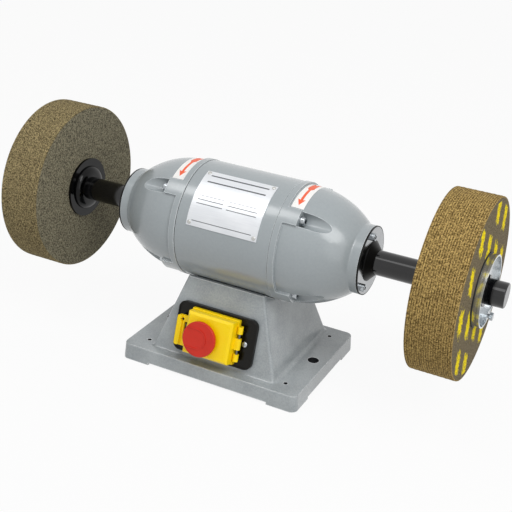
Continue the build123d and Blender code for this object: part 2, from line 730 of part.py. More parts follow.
def left_cap_screws():
    screw = pan_screw(CAP_SCREW_D, LOW_HEAD_D, LOW_HEAD_H, cap_screw_reach())
    screws = around(outward_x(CAP_X1, CAP_SCREW_R) * screw, CAP_SCREW_ANGLE, CAP_SCREW_COUNT)
    return [left_of(screw) for screw in screws]


def shaft_seal():
    """Rubber ring in the cap, with a cone outside that closes on the spindle."""
    bore = SPINDLE_D / 2 + RUN
    cone_x1 = CAP_X1 + SEAL_CONE_LEN
    return turned(
        (COLLAR_X1 + RUN, bore), (COLLAR_X1 + RUN, seal_r()), (CAP_X1, seal_r()), (CAP_X1, SEAL_CONE_R),
        (CAP_X1 + SEAL_CONE_EDGE, SEAL_CONE_R), (cone_x1, bore + SEAL_LIP), (cone_x1, bore),
    )


# Wheels and flanges
def polishing_wheel():
    body = ring(WHEEL_X0, WHEEL_X1, WHEEL_D / 2, WHEEL_BORE_D / 2)
    rims = body.edges().filter_by(GeomType.CIRCLE).group_by(SortBy.RADIUS)[-1]
    return fillet(rims, WHEEL_EDGE_R)


def inner_flange():
    """Pressed disc with a bulged middle, a hub and a pilot for the wheel."""
    bore = SPINDLE_D / 2 + FIT
    rim_x = WHEEL_X0 - FLANGE_RIM_T
    hub_x = WHEEL_X0 - FLANGE_HUB_LEN
    pilot_r = WHEEL_BORE_D / 2 - FIT
    start = Polyline(
        (hub_x, bore), (WHEEL_X0 + PILOT_LEN, bore), (WHEEL_X0 + PILOT_LEN, pilot_r), (WHEEL_X0, pilot_r),
        (WHEEL_X0, FLANGE_D / 2), (rim_x, FLANGE_D / 2), (rim_x, FLANGE_BULGE_D / 2),
    )
    bulge = EllipticalCenterArc(
        (rim_x, FLANGE_HUB_D / 2), rim_x - hub_x, (FLANGE_BULGE_D - FLANGE_HUB_D) / 2, 90, arc_size=90
    )
    profile = start + bulge + Line((hub_x, FLANGE_HUB_D / 2), (hub_x, bore))
    body = on_axis(revolve(make_face(profile.edges()), Axis.X))
    return body - at_angle(grub_place(0) * extrude(Circle(GRUB_D / 2 + FIT), FLANGE_BULGE_D / 2), GRUB_ANGLE)


def grub_place(radius):
    """Plane that faces up over the middle of the inner flange's bulge, above the axis by radius."""
    x = WHEEL_X0 - (FLANGE_RIM_T + FLANGE_HUB_LEN) / 2
    return Plane(origin=(x, 0, AXIS_H + radius), x_dir=(1, 0, 0), z_dir=(0, 0, 1))


def flange_grub():
    socket = RegularPolygon(GRUB_SOCKET_AF / 2, 6, major_radius=False)
    body = extrude(Circle(GRUB_D / 2), GRUB_LEN) - Pos(0, 0, GRUB_LEN / 2) * extrude(socket, GRUB_LEN)
    return at_angle(grub_place(SPINDLE_D / 2 + RUN) * body, GRUB_ANGLE)


def cup_washer():
    return ring(WHEEL_X1, CUP_X0, WASHER_D / 2, WHEEL_BORE_D / 2)


def cup_flange():
    """Plated cup that clamps the wheel, with a pilot in the wheel's bore and a lug for its screw."""
    bore = SPINDLE_D / 2 + FIT
    pilot_r = WHEEL_BORE_D / 2 - FIT
    wall_r = CUP_D / 2 - CUP_WALL
    body = turned(
        (WHEEL_X1 - PILOT_LEN, bore), (WHEEL_X1 - PILOT_LEN, pilot_r), (CUP_X0, pilot_r),
        (CUP_X0, CUP_D / 2), (CUP_X1, CUP_D / 2), (CUP_X1, wall_r), (CUP_FLOOR_X, wall_r),
        (CUP_FLOOR_X, bore),
    )
    half_w = BALANCE_LUG_W / 2
    lug = block(CUP_X0, CUP_X1, -half_w, half_w, AXIS_H + BALANCE_LUG_R, AXIS_H + CUP_D / 2 - CUP_WALL / 2)
    hole = bar(CUP_X0, CUP_X1, BALANCE_D / 2 + FIT, BALANCE_R)
    return body + at_angle(lug, BALANCE_ANGLE) - at_angle(hole, BALANCE_ANGLE)


def balance_screw():
    place = outward_x(CUP_X1 + BALANCE_STAND, BALANCE_R)
    screw = hex_bolt(BALANCE_D, BALANCE_AF, BALANCE_HEAD_T, BALANCE_STAND + CUP_DEPTH - EASY)
    return at_angle(place * screw, BALANCE_ANGLE)


def retaining_ring():
    """Split spring ring in the spindle's groove, against the cup's floor."""
    bore = SPINDLE_D / 2 - RETAINER_GROOVE + FIT
    body = ring(CUP_FLOOR_X + FIT, CUP_FLOOR_X + RETAINER_T, RETAINER_D / 2, bore)
    half_w = RETAINER_GAP_W / 2
    return body - block(CUP_FLOOR_X, CUP_X1, -half_w, half_w, AXIS_H, AXIS_H + RETAINER_D)


# Rating plate
def rating_plate():
    middle = Pos((PLATE_X0 + PLATE_X1) / 2, HOUSING_R + FIT + PLATE_T / 2)
    outline = middle * Rectangle(PLATE_X1 - PLATE_X0, PLATE_T)
    sheet = on_axis(Rot(X=180 - PLATE_ANGLE1) * revolve(outline, Axis.X, PLATE_ANGLE1 - PLATE_ANGLE0))
    for rivet in rivet_places():
        sheet -= rivet * Pos(0, 0, -2 * PLATE_T) * extrude(Circle(RIVET_D / 2 + RUN), 3 * PLATE_T)
    return sheet


def rivet_places():
    """Planes at the plate's corners, on its outside face."""
    inset = math.degrees(RIVET_INSET / HOUSING_R)
    places = []
    for x in (PLATE_X0 + RIVET_INSET, PLATE_X1 - RIVET_INSET):
        for angle in (PLATE_ANGLE0 + inset, PLATE_ANGLE1 - inset):
            turn = math.radians(angle)
            out = Vector(0, -math.cos(turn), math.sin(turn))
            centre = Vector(x, 0, AXIS_H) + out * (HOUSING_R + FIT + PLATE_T)
            places.append(Plane(origin=centre, x_dir=(1, 0, 0), z_dir=out))
    return places


def plate_rivets():
    """Round headed rivets, with a little room under the head for the plate's curve."""
    head = extrude(Circle(RIVET_HEAD_D / 2), RIVET_HEAD_H)
    head = fillet(head.edges().sort_by(Axis.Z)[-1], RIVET_HEAD_H * RIVET_ROUND)
    rivet = Pos(0, 0, FIT) * (head + extrude(Circle(RIVET_D / 2), FIT - RIVET_DEPTH))
    return [place * rivet for place in rivet_places()]


# Switch
def button_places():
    """Middles of the stop button, under the mushroom, and of the start button beside it."""
    return {"stop": (MUSHROOM_X, MUSHROOM_Y), "start": (MUSHROOM_X + BUTTON_PITCH, MUSHROOM_Y)}


def button_window():
    """Room for both buttons' lips in the back plate."""
    return Pos(MUSHROOM_X + BUTTON_PITCH / 2, MUSHROOM_Y) * Rectangle(
        BUTTON_PITCH + BUTTON_W + 2 * (BUTTON_LIP + SLIDE), BUTTON_H + 2 * (BUTTON_LIP + SLIDE)
    )


def switch_plate():
    outline = RectangleRounded(SWITCH_PLATE_W, SWITCH_PLATE_H, SWITCH_PLATE_R)
    well = RectangleRounded(
        SWITCH_PLATE_W - 2 * SWITCH_RIM_W, SWITCH_PLATE_H - 2 * SWITCH_RIM_W, SWITCH_PLATE_R - SWITCH_RIM_W
    )
    body = extrude(outline, SWITCH_PLATE_T + SWITCH_RIM_T)
    body = fillet(body.edges().group_by(Axis.Z)[-1], SWITCH_RIM_T)
    body -= Pos(0, 0, SWITCH_PLATE_T) * extrude(well, SWITCH_RIM_T)
    body -= extrude(button_window(), SWITCH_PLATE_T)
    holes = pattern(switch_screw_places(), Circle(SWITCH_SCREW_D / 2 + RUN))
    body -= extrude(holes, SWITCH_PLATE_T)
    return FRONT_PLANE * body


def switch_screws():
    screw = pan_screw(
        SWITCH_SCREW_D, SWITCH_SCREW_HEAD_D, SWITCH_SCREW_HEAD_H, SWITCH_PLATE_T + SWITCH_SCREW_DEPTH
    )
    return copies(FRONT_PLANE.location * Pos(0, 0, SWITCH_PLATE_T), switch_screw_places(), screw)


def knuckle(y0, y1, reach, web_z0, web_z1):
    """Hinge knuckle between y0 and y1, with a web that reaches back to what carries it."""
    length = y1 - y0
    barrel = Pos(HINGE_X, y1, HINGE_H) * Rot(X=90) * extrude(Circle(KNUCKLE_D / 2), length)
    web = block(reach, HINGE_X, y0, y1, web_z0, web_z1)
    hole = Pos(HINGE_X, y1, HINGE_H) * Rot(X=90) * extrude(Circle(PIN_D / 2 + RUN), length)
    return barrel + web - hole


def frame_knuckles():
    """Heights of the frame's two knuckles, at the ends of the hinge."""
    end = KNUCKLE_SPAN / 2
    return [(-end, KNUCKLE_LEN - end), (end - KNUCKLE_LEN, end)]


def switch_frame():
    body = Pos(0, 0, SWITCH_PLATE_T) * extrude(Rectangle(FRAME_W, FRAME_H), FRAME_T)
    body = chamfer(body.edges().group_by(Axis.Z)[-1], SLIDE)
    for x, y in button_places().values():
        hole = Rectangle(BUTTON_W + 2 * SLIDE, BUTTON_H + 2 * SLIDE)
        body -= Pos(x, y, SWITCH_PLATE_T) * extrude(hole, FRAME_T)
    for y0, y1 in frame_knuckles():
        body += knuckle(y0, y1, FRAME_W / 2 - SLIDE, HINGE_H - KNUCKLE_D / 2, FRAME_TOP)
    return FRONT_PLANE * body


def hinge_pin():
    return FRONT_PLANE * Pos(HINGE_X, KNUCKLE_SPAN / 2, HINGE_H) * Rot(X=90) * extrude(
        Circle(PIN_D / 2), KNUCKLE_SPAN
    )


def contactor_block():
    body = extrude(Rectangle(BLOCK_W, BLOCK_H), -BLOCK_DEPTH)
    for x, y in button_places().values():
        body -= Pos(x, y, 0) * extrude(Circle(PLUNGER_D / 2 + SLIDE), -PLUNGER_LEN - BUTTON_TRAVEL - SLIDE)
    return FRONT_PLANE * body


def push_button(name):
    """Button cap with a retaining lip under the frame and a plunger into the contactor."""
    x, y = button_places()[name]
    lip_z = SWITCH_PLATE_T - BUTTON_LIP - SLIDE
    cap = Pos(0, 0, lip_z) * extrude(Rectangle(BUTTON_W, BUTTON_H), BUTTON_TOP - lip_z)
    cap = chamfer(cap.edges().group_by(Axis.Z)[-1], BUTTON_STAND / 2)
    lip = Pos(0, 0, lip_z) * extrude(Rectangle(BUTTON_W + 2 * BUTTON_LIP - SLIDE, BUTTON_H), BUTTON_LIP)
    plunger = Pos(0, 0, lip_z) * extrude(Circle(PLUNGER_D / 2), -PLUNGER_LEN)
    return FRONT_PLANE * Pos(x, y, 0) * (cap + lip + plunger)


def flap_shell(inset, rim, front):
    """Tapered box of the flap between two heights, drawn in by inset."""
    base = Pos(0, 0, rim) * Rectangle(FLAP_W + FLAP_DRAFT - 2 * inset, FLAP_H + FLAP_DRAFT - 2 * inset)
    face = Pos(0, 0, front) * Rectangle(FLAP_W - 2 * inset, FLAP_H - 2 * inset)
    return loft([base, face])


def flap_tab():
    """Padlock tab on the flap's free side, with its grip bar, slot and hole."""
    edge_x = -FLAP_W / 2 - TAB_W
    middle_x = edge_x + TAB_W / 2
    outline = RectangleRounded(TAB_W + 2 * TAB_R, TAB_H, TAB_R)
    plate = Pos(middle_x + TAB_R, -TAB_DROP, FLAP_RIM) * extrude(outline, TAB_T)
    grip = RectangleRounded(TAB_BAR_W, TAB_H, TAB_BAR_W / 2 - FIT)
    plate += Pos(edge_x + TAB_BAR_W / 2, -TAB_DROP, FLAP_RIM) * extrude(grip, TAB_T + TAB_BAR_T)
    slot = RectangleRounded(TAB_SLOT_W, TAB_SLOT_H, TAB_SLOT_R)
    plate -= Pos(edge_x + TAB_BAR_W + TAB_SLOT_W, -TAB_DROP, FLAP_RIM) * extrude(slot, TAB_T)
    hole_y = TAB_H / 2 - TAB_DROP - TAB_R
    plate -= Pos(edge_x + TAB_BAR_W, hole_y, FLAP_RIM) * extrude(Circle(PADLOCK_HOLE_D / 2), FLAP_FRONT)
    return plate


def switch_flap():
    body = flap_shell(0, FLAP_RIM, FLAP_FRONT)
    body = chamfer(body.edges().group_by(Axis.Z)[-1], FLAP_CHAMFER)
    body += flap_tab()
    half = FLAP_KNUCKLE_LEN / 2
    web_z1 = HINGE_H + KNUCKLE_D / 2
    body += knuckle(-half, half, FLAP_W / 2 - FLAP_WALL, FLAP_RIM, web_z1)
    body -= flap_shell(FLAP_WALL, FLAP_RIM, FLAP_FRONT - FLAP_WALL)
    body -= Pos(MUSHROOM_X, MUSHROOM_Y, 0) * extrude(Circle(STEM_D / 2 + RUN), FLAP_FRONT)
    return FRONT_PLANE * body


def mushroom_mark():
    """Raised rib on the mushroom's face, round at the right and open at the left."""
    inner_r = MARK_R - MARK_RIB
    outer = Circle(MARK_R) + Pos(-MARK_LEN / 2, 0) * Rectangle(MARK_LEN, 2 * MARK_R)
    inner = Circle(inner_r) + Pos(-MARK_LEN, 0) * Rectangle(2 * MARK_LEN, 2 * inner_r)
    return Pos(MARK_X, 0) * extrude(outer - inner, MARK_RAISE)


def mushroom_button():
    head = Pos(0, 0, HEAD_UNDER) * extrude(Circle(MUSHROOM_D / 2), MUSHROOM_T)
    head = fillet(head.edges().group_by(Axis.Z)[-1], MUSHROOM_EDGE_R)
    head += Pos(0, 0, HEAD_UNDER + MUSHROOM_T) * mushroom_mark()
    stem_end = BUTTON_TOP + SLIDE
    stem = Pos(0, 0, stem_end) * extrude(Circle(STEM_D / 2), HEAD_UNDER - stem_end)
    groove = Pos(0, 0, clip_z()) * extrude(Circle(STEM_D / 2) - Circle(STEM_D / 2 - CLIP_T / 2), CLIP_T)
    return FRONT_PLANE * Pos(MUSHROOM_X, MUSHROOM_Y, 0) * (head + stem - groove)


def clip_z():
    """Underside of the clip that stops the mushroom from coming out of the flap."""
    return FLAP_FRONT - FLAP_WALL - SLIDE - CLIP_T


def mushroom_clip():
    body = extrude(Circle(CLIP_D / 2) - Circle(STEM_D / 2 - CLIP_T / 2 + FIT), CLIP_T - 2 * FIT)
    mouth = STEM_D - CLIP_T
    body -= Pos(0, -CLIP_D / 2, 0) * extrude(Rectangle(mouth / 2, CLIP_D), CLIP_T)
    return FRONT_PLANE * Pos(MUSHROOM_X, MUSHROOM_Y, clip_z() + FIT) * body


# Cable gland and motor lead
def cable_gland():
    collar = extrude(RegularPolygon(GLAND_AF / 2, 6, major_radius=False), GLAND_COLLAR_T)
    cap = Pos(0, 0, GLAND_COLLAR_T) * extrude(Circle(GLAND_CAP_D / 2), GLAND_CAP_LEN)
    cap = fillet(cap.edges().sort_by(Axis.Z)[-1], GLAND_CAP_R)
    thread = extrude(Circle(GLAND_D / 2), -2 * PED_WALL)
    bore = Pos(0, 0, -2 * PED_WALL) * extrude(Circle(GLAND_BORE_D / 2), THROUGH)
    return BACK_PLANE * (collar + cap + thread - bore)


def gland_seal():
    """Blanking insert in the gland's bore."""
    reach = GLAND_COLLAR_T + GLAND_CAP_LEN / 2
    return BACK_PLANE * extrude(Circle(GLAND_BORE_D / 2 - FIT), reach)


def gland_nut():
    inside = PED_WALL * math.cos(math.radians(SLOPE_ANGLE))
    nut = RegularPolygon(GLAND_AF / 2, 6, major_radius=False) - Circle(GLAND_D / 2 + FIT)
    return BACK_PLANE * Pos(0, 0, -inside - FIT) * extrude(nut, -GLAND_NUT_T)


def motor_lead():
    """Lead from the winding down through the deck to the back of the contactor."""
    top = AXIS_H - STATOR_BORE_D / 2 - EASY - WINDING_T - SLIDE
    entry = FRONT_PLANE.from_local_coords((LEAD_ENTRY, 0, -BLOCK_DEPTH))
    before = FRONT_PLANE.from_local_coords((LEAD_ENTRY, 0, -BLOCK_DEPTH - LEAD_END_RUN))
    route = FilletPolyline((LEAD_X, 0, top), (LEAD_X, 0, top - LEAD_DROP), before, entry, radius=LEAD_BEND_R)
    section = Plane(origin=route @ 0, z_dir=route % 0) * Circle(LEAD_D / 2)
    return sweep(section, path=route)


os.makedirs("parts", exist_ok=True)

save("base_pedestal", base_pedestal())
save("bottom_cover", bottom_cover())
save("cover_screws", *cover_screws())
save("motor_housing", motor_housing())
save("motor_bolts", *motor_bolts())
save("stator_core", stator_core())
save("stator_winding", stator_winding())
save("rotor_core", rotor_core())
save("rotor_end_rings", *rotor_end_rings())
save("spindle", spindle())
save("rating_plate", rating_plate())
save("plate_rivets", *plate_rivets())

handed = {
    "end_bell": [end_bell()],
    "bearing_outer": [bearing_outer()],
    "bearing_inner": [bearing_inner()],
    "bearing_balls": bearing_balls(),
    "bearing_cage": [bearing_cage()],
    "cap_gasket": [cap_gasket()],
    "bearing_cap": [bearing_cap()],
    "shaft_seal": [shaft_seal()],
    "inner_flange": [inner_flange()],
    "polishing_wheel": [polishing_wheel()],
    "cup_washer": [cup_washer()],
    "cup_flange": [cup_flange()],
}
for name, pieces in handed.items():
    save(f"right_{name}", *pieces)
    save(f"left_{name}", *[left_of(piece) for piece in pieces])

on_both_sides = {
    "bell_screws": bell_screws(),
    "flange_grubs": [flange_grub()],
    "balance_screws": [balance_screw()],
    "retaining_rings": [retaining_ring()],
}
for name, pieces in on_both_sides.items():
    save(name, *pieces, *[left_of(piece) for piece in pieces])

save("right_cap_screws", *right_cap_screws())
save("left_cap_screws", *left_cap_screws())
save("switch_plate", switch_plate())
save("switch_screws", *switch_screws())
save("switch_frame", switch_frame())
save("hinge_pin", hinge_pin())
save("contactor_block", contactor_block())
save("start_button", push_button("start"))
save("stop_button", push_button("stop"))
save("switch_flap", switch_flap())
save("mushroom_button", mushroom_button())
save("mushroom_clip", mushroom_clip())
save("cable_gland", cable_gland())
save("gland_seal", gland_seal())
save("gland_nut", gland_nut())
save("motor_lead", motor_lead())
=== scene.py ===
"""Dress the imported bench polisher: finishes, stickers, wheel layers, stage, lamps and camera."""

import logging
import math
from collections.abc import Sequence
from dataclasses import dataclass
from enum import Enum

import bmesh
import bpy
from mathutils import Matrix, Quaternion, Vector


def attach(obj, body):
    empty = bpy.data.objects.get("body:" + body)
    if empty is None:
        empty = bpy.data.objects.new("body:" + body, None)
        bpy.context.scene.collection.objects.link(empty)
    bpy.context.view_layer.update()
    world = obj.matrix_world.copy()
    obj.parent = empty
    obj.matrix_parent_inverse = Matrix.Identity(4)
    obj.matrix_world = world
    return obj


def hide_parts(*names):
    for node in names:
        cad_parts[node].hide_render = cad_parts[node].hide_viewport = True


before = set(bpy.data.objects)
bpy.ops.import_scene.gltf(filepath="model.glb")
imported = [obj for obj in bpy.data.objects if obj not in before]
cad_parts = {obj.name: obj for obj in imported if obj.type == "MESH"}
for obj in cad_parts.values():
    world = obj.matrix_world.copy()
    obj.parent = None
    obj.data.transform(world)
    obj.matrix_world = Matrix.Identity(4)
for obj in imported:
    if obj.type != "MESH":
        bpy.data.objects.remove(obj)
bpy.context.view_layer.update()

LOG = logging.getLogger("polisher")
MM = 0.001
HALF = 0.5
FULL_TURN = 360         # degrees
AXIS_H = 164.5          # spindle's axis above the bench, mm
SHARP_TURN = 35         # turn between two faces from which their edge stays sharp, degrees
FILM_T = 0.06           # thickness of film and ink, mm
MIX_A, MIX_B, MIX_OUT = 6, 7, 2     # colour sockets of the Mix node

# How fine each noise goes, and how strong its finest part is.
MARK_NOISE = {"Detail": 4.0, "Roughness": 0.6}
PATCH_NOISE = {"Detail": 3.0}
GRIT_NOISE = {"Detail": 3.0, "Roughness": 0.7}
RAG_NOISE = {"Detail": 3.0, "Roughness": 0.65}

# Where a noise's values lie: nearly all of one noise, the middle of one, and the middle of two added up.
WIDE_SPAN = {"From Min": 0.3, "From Max": 0.7}
NARROW_SPAN = {"From Min": 0.4, "From Max": 0.6}
ADDED_SPAN = {"From Min": 0.75, "From Max": 1.25}

# Cosine of the turn at which a pale edge starts to show and at which it is palest: a painted highlight where
# light would catch the edge, with some rubbed paint.
# It goes past 1 there, because it is multiplied by the noise of the marks, which is about a half.
EDGE_SPAN = {"From Min": 0.995, "From Max": 0.93, "To Max": 1.7}
EDGE_SAMPLES = 6
# Distance from the joint of two sheets at which its dark starts and at which it is full, in sheets.
JOINT_SPAN = {"From Min": 0.3, "From Max": 0.12}

COAT_ROUGHNESS = 0.14
BRUSH_STRETCH = (0.03, 1.0, 1.0)    # scale that draws brush lines out along the spindle
RAG_STRETCH = (1.0, 1.0, 0.5)       # scale that makes the bites in a block twice as tall as wide


class Side(Enum):
    """Which end of the machine a piece is on, as the sign of its x."""

    LEFT = -1
    RIGHT = 1

    @property
    def word(self) -> str:
        """The side as it stands in a piece's name."""
        return self.name.lower()


class Grain(Enum):
    """How a surface was made, which sets the way its marks run."""

    EVEN = "sprayed, cast or moulded"
    TURNED = "cut in rings about the spindle"
    BRUSHED = "drawn along the spindle"


class RuleWeight(Enum):
    """Half of a printed rule's height, in degrees round the motor."""

    BOLD = 0.7
    FINE = 0.34


def linear(code: str) -> tuple[float, float, float, float]:
    """Turn an sRGB hex colour to a linear one, by the sRGB standard's curve.

    Args:
        code: the colour as #rrggbb.

    Returns:
        Linear red, green, blue and an alpha of 1.
    """
    parts = [int(code[i:i + 2], 16) / 255 for i in (1, 3, 5)]
    red, green, blue = (p / 12.92 if p <= 0.04045 else ((p + 0.055) / 1.055) ** 2.4 for p in parts)
    return red, green, blue, 1.0


def per_mm(size: float) -> float:
    """Steps a metre, for features of about that many millimetres."""
    return 1 / (size * MM)


def clear_nodes(block: bpy.types.Material | bpy.types.World) -> bpy.types.NodeTree:
    """Turn on the nodes of a material or world, and empty them.

    Args:
        block: the material or world.

    Returns:
        Its empty node tree.
    """
    block.use_nodes = True
    block.node_tree.nodes.clear()
    return block.node_tree


def add_node(
    tree: bpy.types.NodeTree, kind: str, feeds: dict[str | int, object] | None = None, **settings: object
) -> bpy.types.Node:
    """Add a node with its settings, values and links.

    Args:
        tree: the node tree that gets it.
        kind: Blender's name for the node's type.
        feeds: what goes into its sockets: a value, a socket, or a node whose first output is used.
        settings: the node's own properties.

    Returns:
        The new node.
    """
    node = tree.nodes.new(kind)
    for name, value in settings.items():
        setattr(node, name, value)
    for name, value in (feeds or {}).items():
        if isinstance(value, bpy.types.Node):
            value = value.outputs[0]
        if isinstance(value, bpy.types.NodeSocket):
            tree.links.new(value, node.inputs[name])
        else:
            node.inputs[name].default_value = value
    return node


def from_axis(tree: bpy.types.NodeTree, where: bpy.types.NodeSocket) -> bpy.types.Node:
    """Measure a place from the spindle's axis.

    Args:
        tree: the material's nodes.
        where: place on the piece, in metres.

    Returns:
        The place as separate x, y and z, with z from the axis.
    """
    moved = add_node(tree, "ShaderNodeVectorMath", {
        0: where, 1: (0.0, 0.0, AXIS_H * MM)}, operation="SUBTRACT")
    return add_node(tree, "ShaderNodeSeparateXYZ", {"Vector": moved})


def axis_distance(
    tree: bpy.types.NodeTree, along_y: bpy.types.NodeSocket, along_z: bpy.types.NodeSocket
) -> bpy.types.NodeSocket:
    """Distance from the spindle's axis, in metres.

    Args:
        tree: the material's nodes.
        along_y: how far the place lies behind the axis.
        along_z: how far it lies above the axis.

    Returns:
        The distance.
    """
    flat = add_node(tree, "ShaderNodeCombineXYZ", {"Y": along_y, "Z": along_z})
    return add_node(tree, "ShaderNodeVectorMath", {0: flat}, operation="LENGTH").outputs["Value"]


def shows_background(tree: bpy.types.NodeTree) -> bpy.types.Node:
    """Pick the rays that show the background: seen straight, mirrored or through glass.

    Args:
        tree: the nodes of the floor or the surround.

    Returns:
        1 on those rays.
    """
    rays = add_node(tree, "ShaderNodeLightPath")
    mirrored = add_node(tree, "ShaderNodeMath", {
        0: rays.outputs["Is Camera Ray"], 1: rays.outputs["Is Glossy Ray"]}, operation="MAXIMUM")
    return add_node(tree, "ShaderNodeMath", {
        0: mirrored, 1: rays.outputs["Is Transmission Ray"]}, operation="MAXIMUM")


@dataclass(frozen=True)
class Finish:
    """A surface of the machine as a node material.

    Attributes:
        name: the real material and how its surface was made.
        colour: its main colour.
        shade: the colour that it drifts to in patches.
        roughness: middle of its roughness.
        swing: how far the roughness goes either way.
        metallic: 1 for bare metal.
        specular: strength of its reflection, 0.5 for most.
        coat: strength of a clear layer on top.
        grain: how its marks run.
        grain_mm: size of its marks.
        depth_mm: depth of its marks.
        mottle_mm: size of its patches.
        worn: colour of its pale edges, if they show: a painted highlight on rounded edges, with some rubbed
            paint.
        edge_mm: width of those edges.
    """

    name: str
    colour: str
    shade: str
    roughness: float
    swing: float = 0.05
    metallic: float = 0.0
    specular: float = 0.5
    coat: float = 0.0
    grain: Grain = Grain.EVEN
    grain_mm: float = 1.0
    depth_mm: float = 0.02
    mottle_mm: float = 30.0
    worn: str = ""
    edge_mm: float = 0.0

    def material(self) -> bpy.types.Material:
        """Make the material, or give the one already made.

        Returns:
            The finish as a Blender material.
        """
        made = bpy.data.materials.get(self.name)
        if made:
            return made
        made = bpy.data.materials.new(self.name)
        tree = clear_nodes(made)
        where = add_node(tree, "ShaderNodeTexCoord").outputs["Object"]
        marks = add_node(tree, "ShaderNodeTexNoise", {
            "Vector": self.path(tree, where), "Scale": per_mm(self.grain_mm), **MARK_NOISE})
        rough = add_node(tree, "ShaderNodeMapRange", {
            "Value": marks, **WIDE_SPAN,
            "To Min": self.roughness - self.swing, "To Max": self.roughness + self.swing})
        bump = add_node(tree, "ShaderNodeBump", {"Height": marks, "Distance": self.depth_mm * MM})
        shader = add_node(tree, "ShaderNodeBsdfPrincipled", {
            "Base Color": self.tint(tree, where, marks), "Roughness": rough, "Normal": bump,
            "Metallic": self.metallic, "Specular IOR Level": self.specular,
            "Coat Weight": self.coat, "Coat Roughness": COAT_ROUGHNESS})
        add_node(tree, "ShaderNodeOutputMaterial", {"Surface": shader})
        return made

    def path(self, tree: bpy.types.NodeTree, where: bpy.types.NodeSocket) -> bpy.types.NodeSocket:
        """Lay the marks the way the surface was made.

        Args:
            tree: the material's nodes.
            where: place on the piece, in metres.

        Returns:
            The coordinates that the marks follow.
        """
        if self.grain is Grain.BRUSHED:
            drawn = add_node(tree, "ShaderNodeMapping", {"Vector": where, "Scale": BRUSH_STRETCH})
            return drawn.outputs[0]
        if self.grain is Grain.TURNED:
            place = from_axis(tree, where)
            radius = axis_distance(tree, place.outputs["Y"], place.outputs["Z"])
            rings = add_node(tree, "ShaderNodeCombineXYZ", {"X": place.outputs["X"], "Y": radius})
            return rings.outputs[0]
        return where

    def tint(
        self, tree: bpy.types.NodeTree, where: bpy.types.NodeSocket, marks: bpy.types.Node
    ) -> bpy.types.NodeSocket:
        """Drift between the two colours, and pale the edges: a painted highlight where light catches them,
        with some paint rubbed off.

        Args:
            tree: the material's nodes.
            where: place on the piece, in metres.
            marks: the noise that the marks come from.

        Returns:
            The surface's colour.
        """
        patches = add_node(tree, "ShaderNodeTexNoise", {
            "Vector": where, "Scale": per_mm(self.mottle_mm), **PATCH_NOISE})
        both = add_node(tree, "ShaderNodeMath", {0: patches, 1: marks}, operation="ADD")
        amount = add_node(tree, "ShaderNodeMapRange", {"Value": both, **ADDED_SPAN})
        colour = add_node(tree, "ShaderNodeMix", {
            0: amount, MIX_A: linear(self.shade), MIX_B: linear(self.colour)}, data_type="RGBA")
        if not self.worn:
            return colour.outputs[MIX_OUT]
        # Painted highlight: edges that the bevel finds are paled as if light caught them, together with some
        # rubbed paint.
        round_off = add_node(tree, "ShaderNodeBevel", {"Radius": self.edge_mm * MM}, samples=EDGE_SAMPLES)
        flat = add_node(tree, "ShaderNodeNewGeometry").outputs["Normal"]
        turn = add_node(tree, "ShaderNodeVectorMath", {0: round_off, 1: flat}, operation="DOT_PRODUCT")
        edge = add_node(tree, "ShaderNodeMapRange", {"Value": turn.outputs["Value"], **EDGE_SPAN})
        rubbed_and_highlit = add_node(tree, "ShaderNodeMath", {0: edge, 1: marks}, operation="MULTIPLY")
        paled = add_node(tree, "ShaderNodeMix", {
            0: rubbed_and_highlit, MIX_A: colour.outputs[MIX_OUT], MIX_B: linear(self.worn)}, data_type="RGBA")
        return paled.outputs[MIX_OUT]


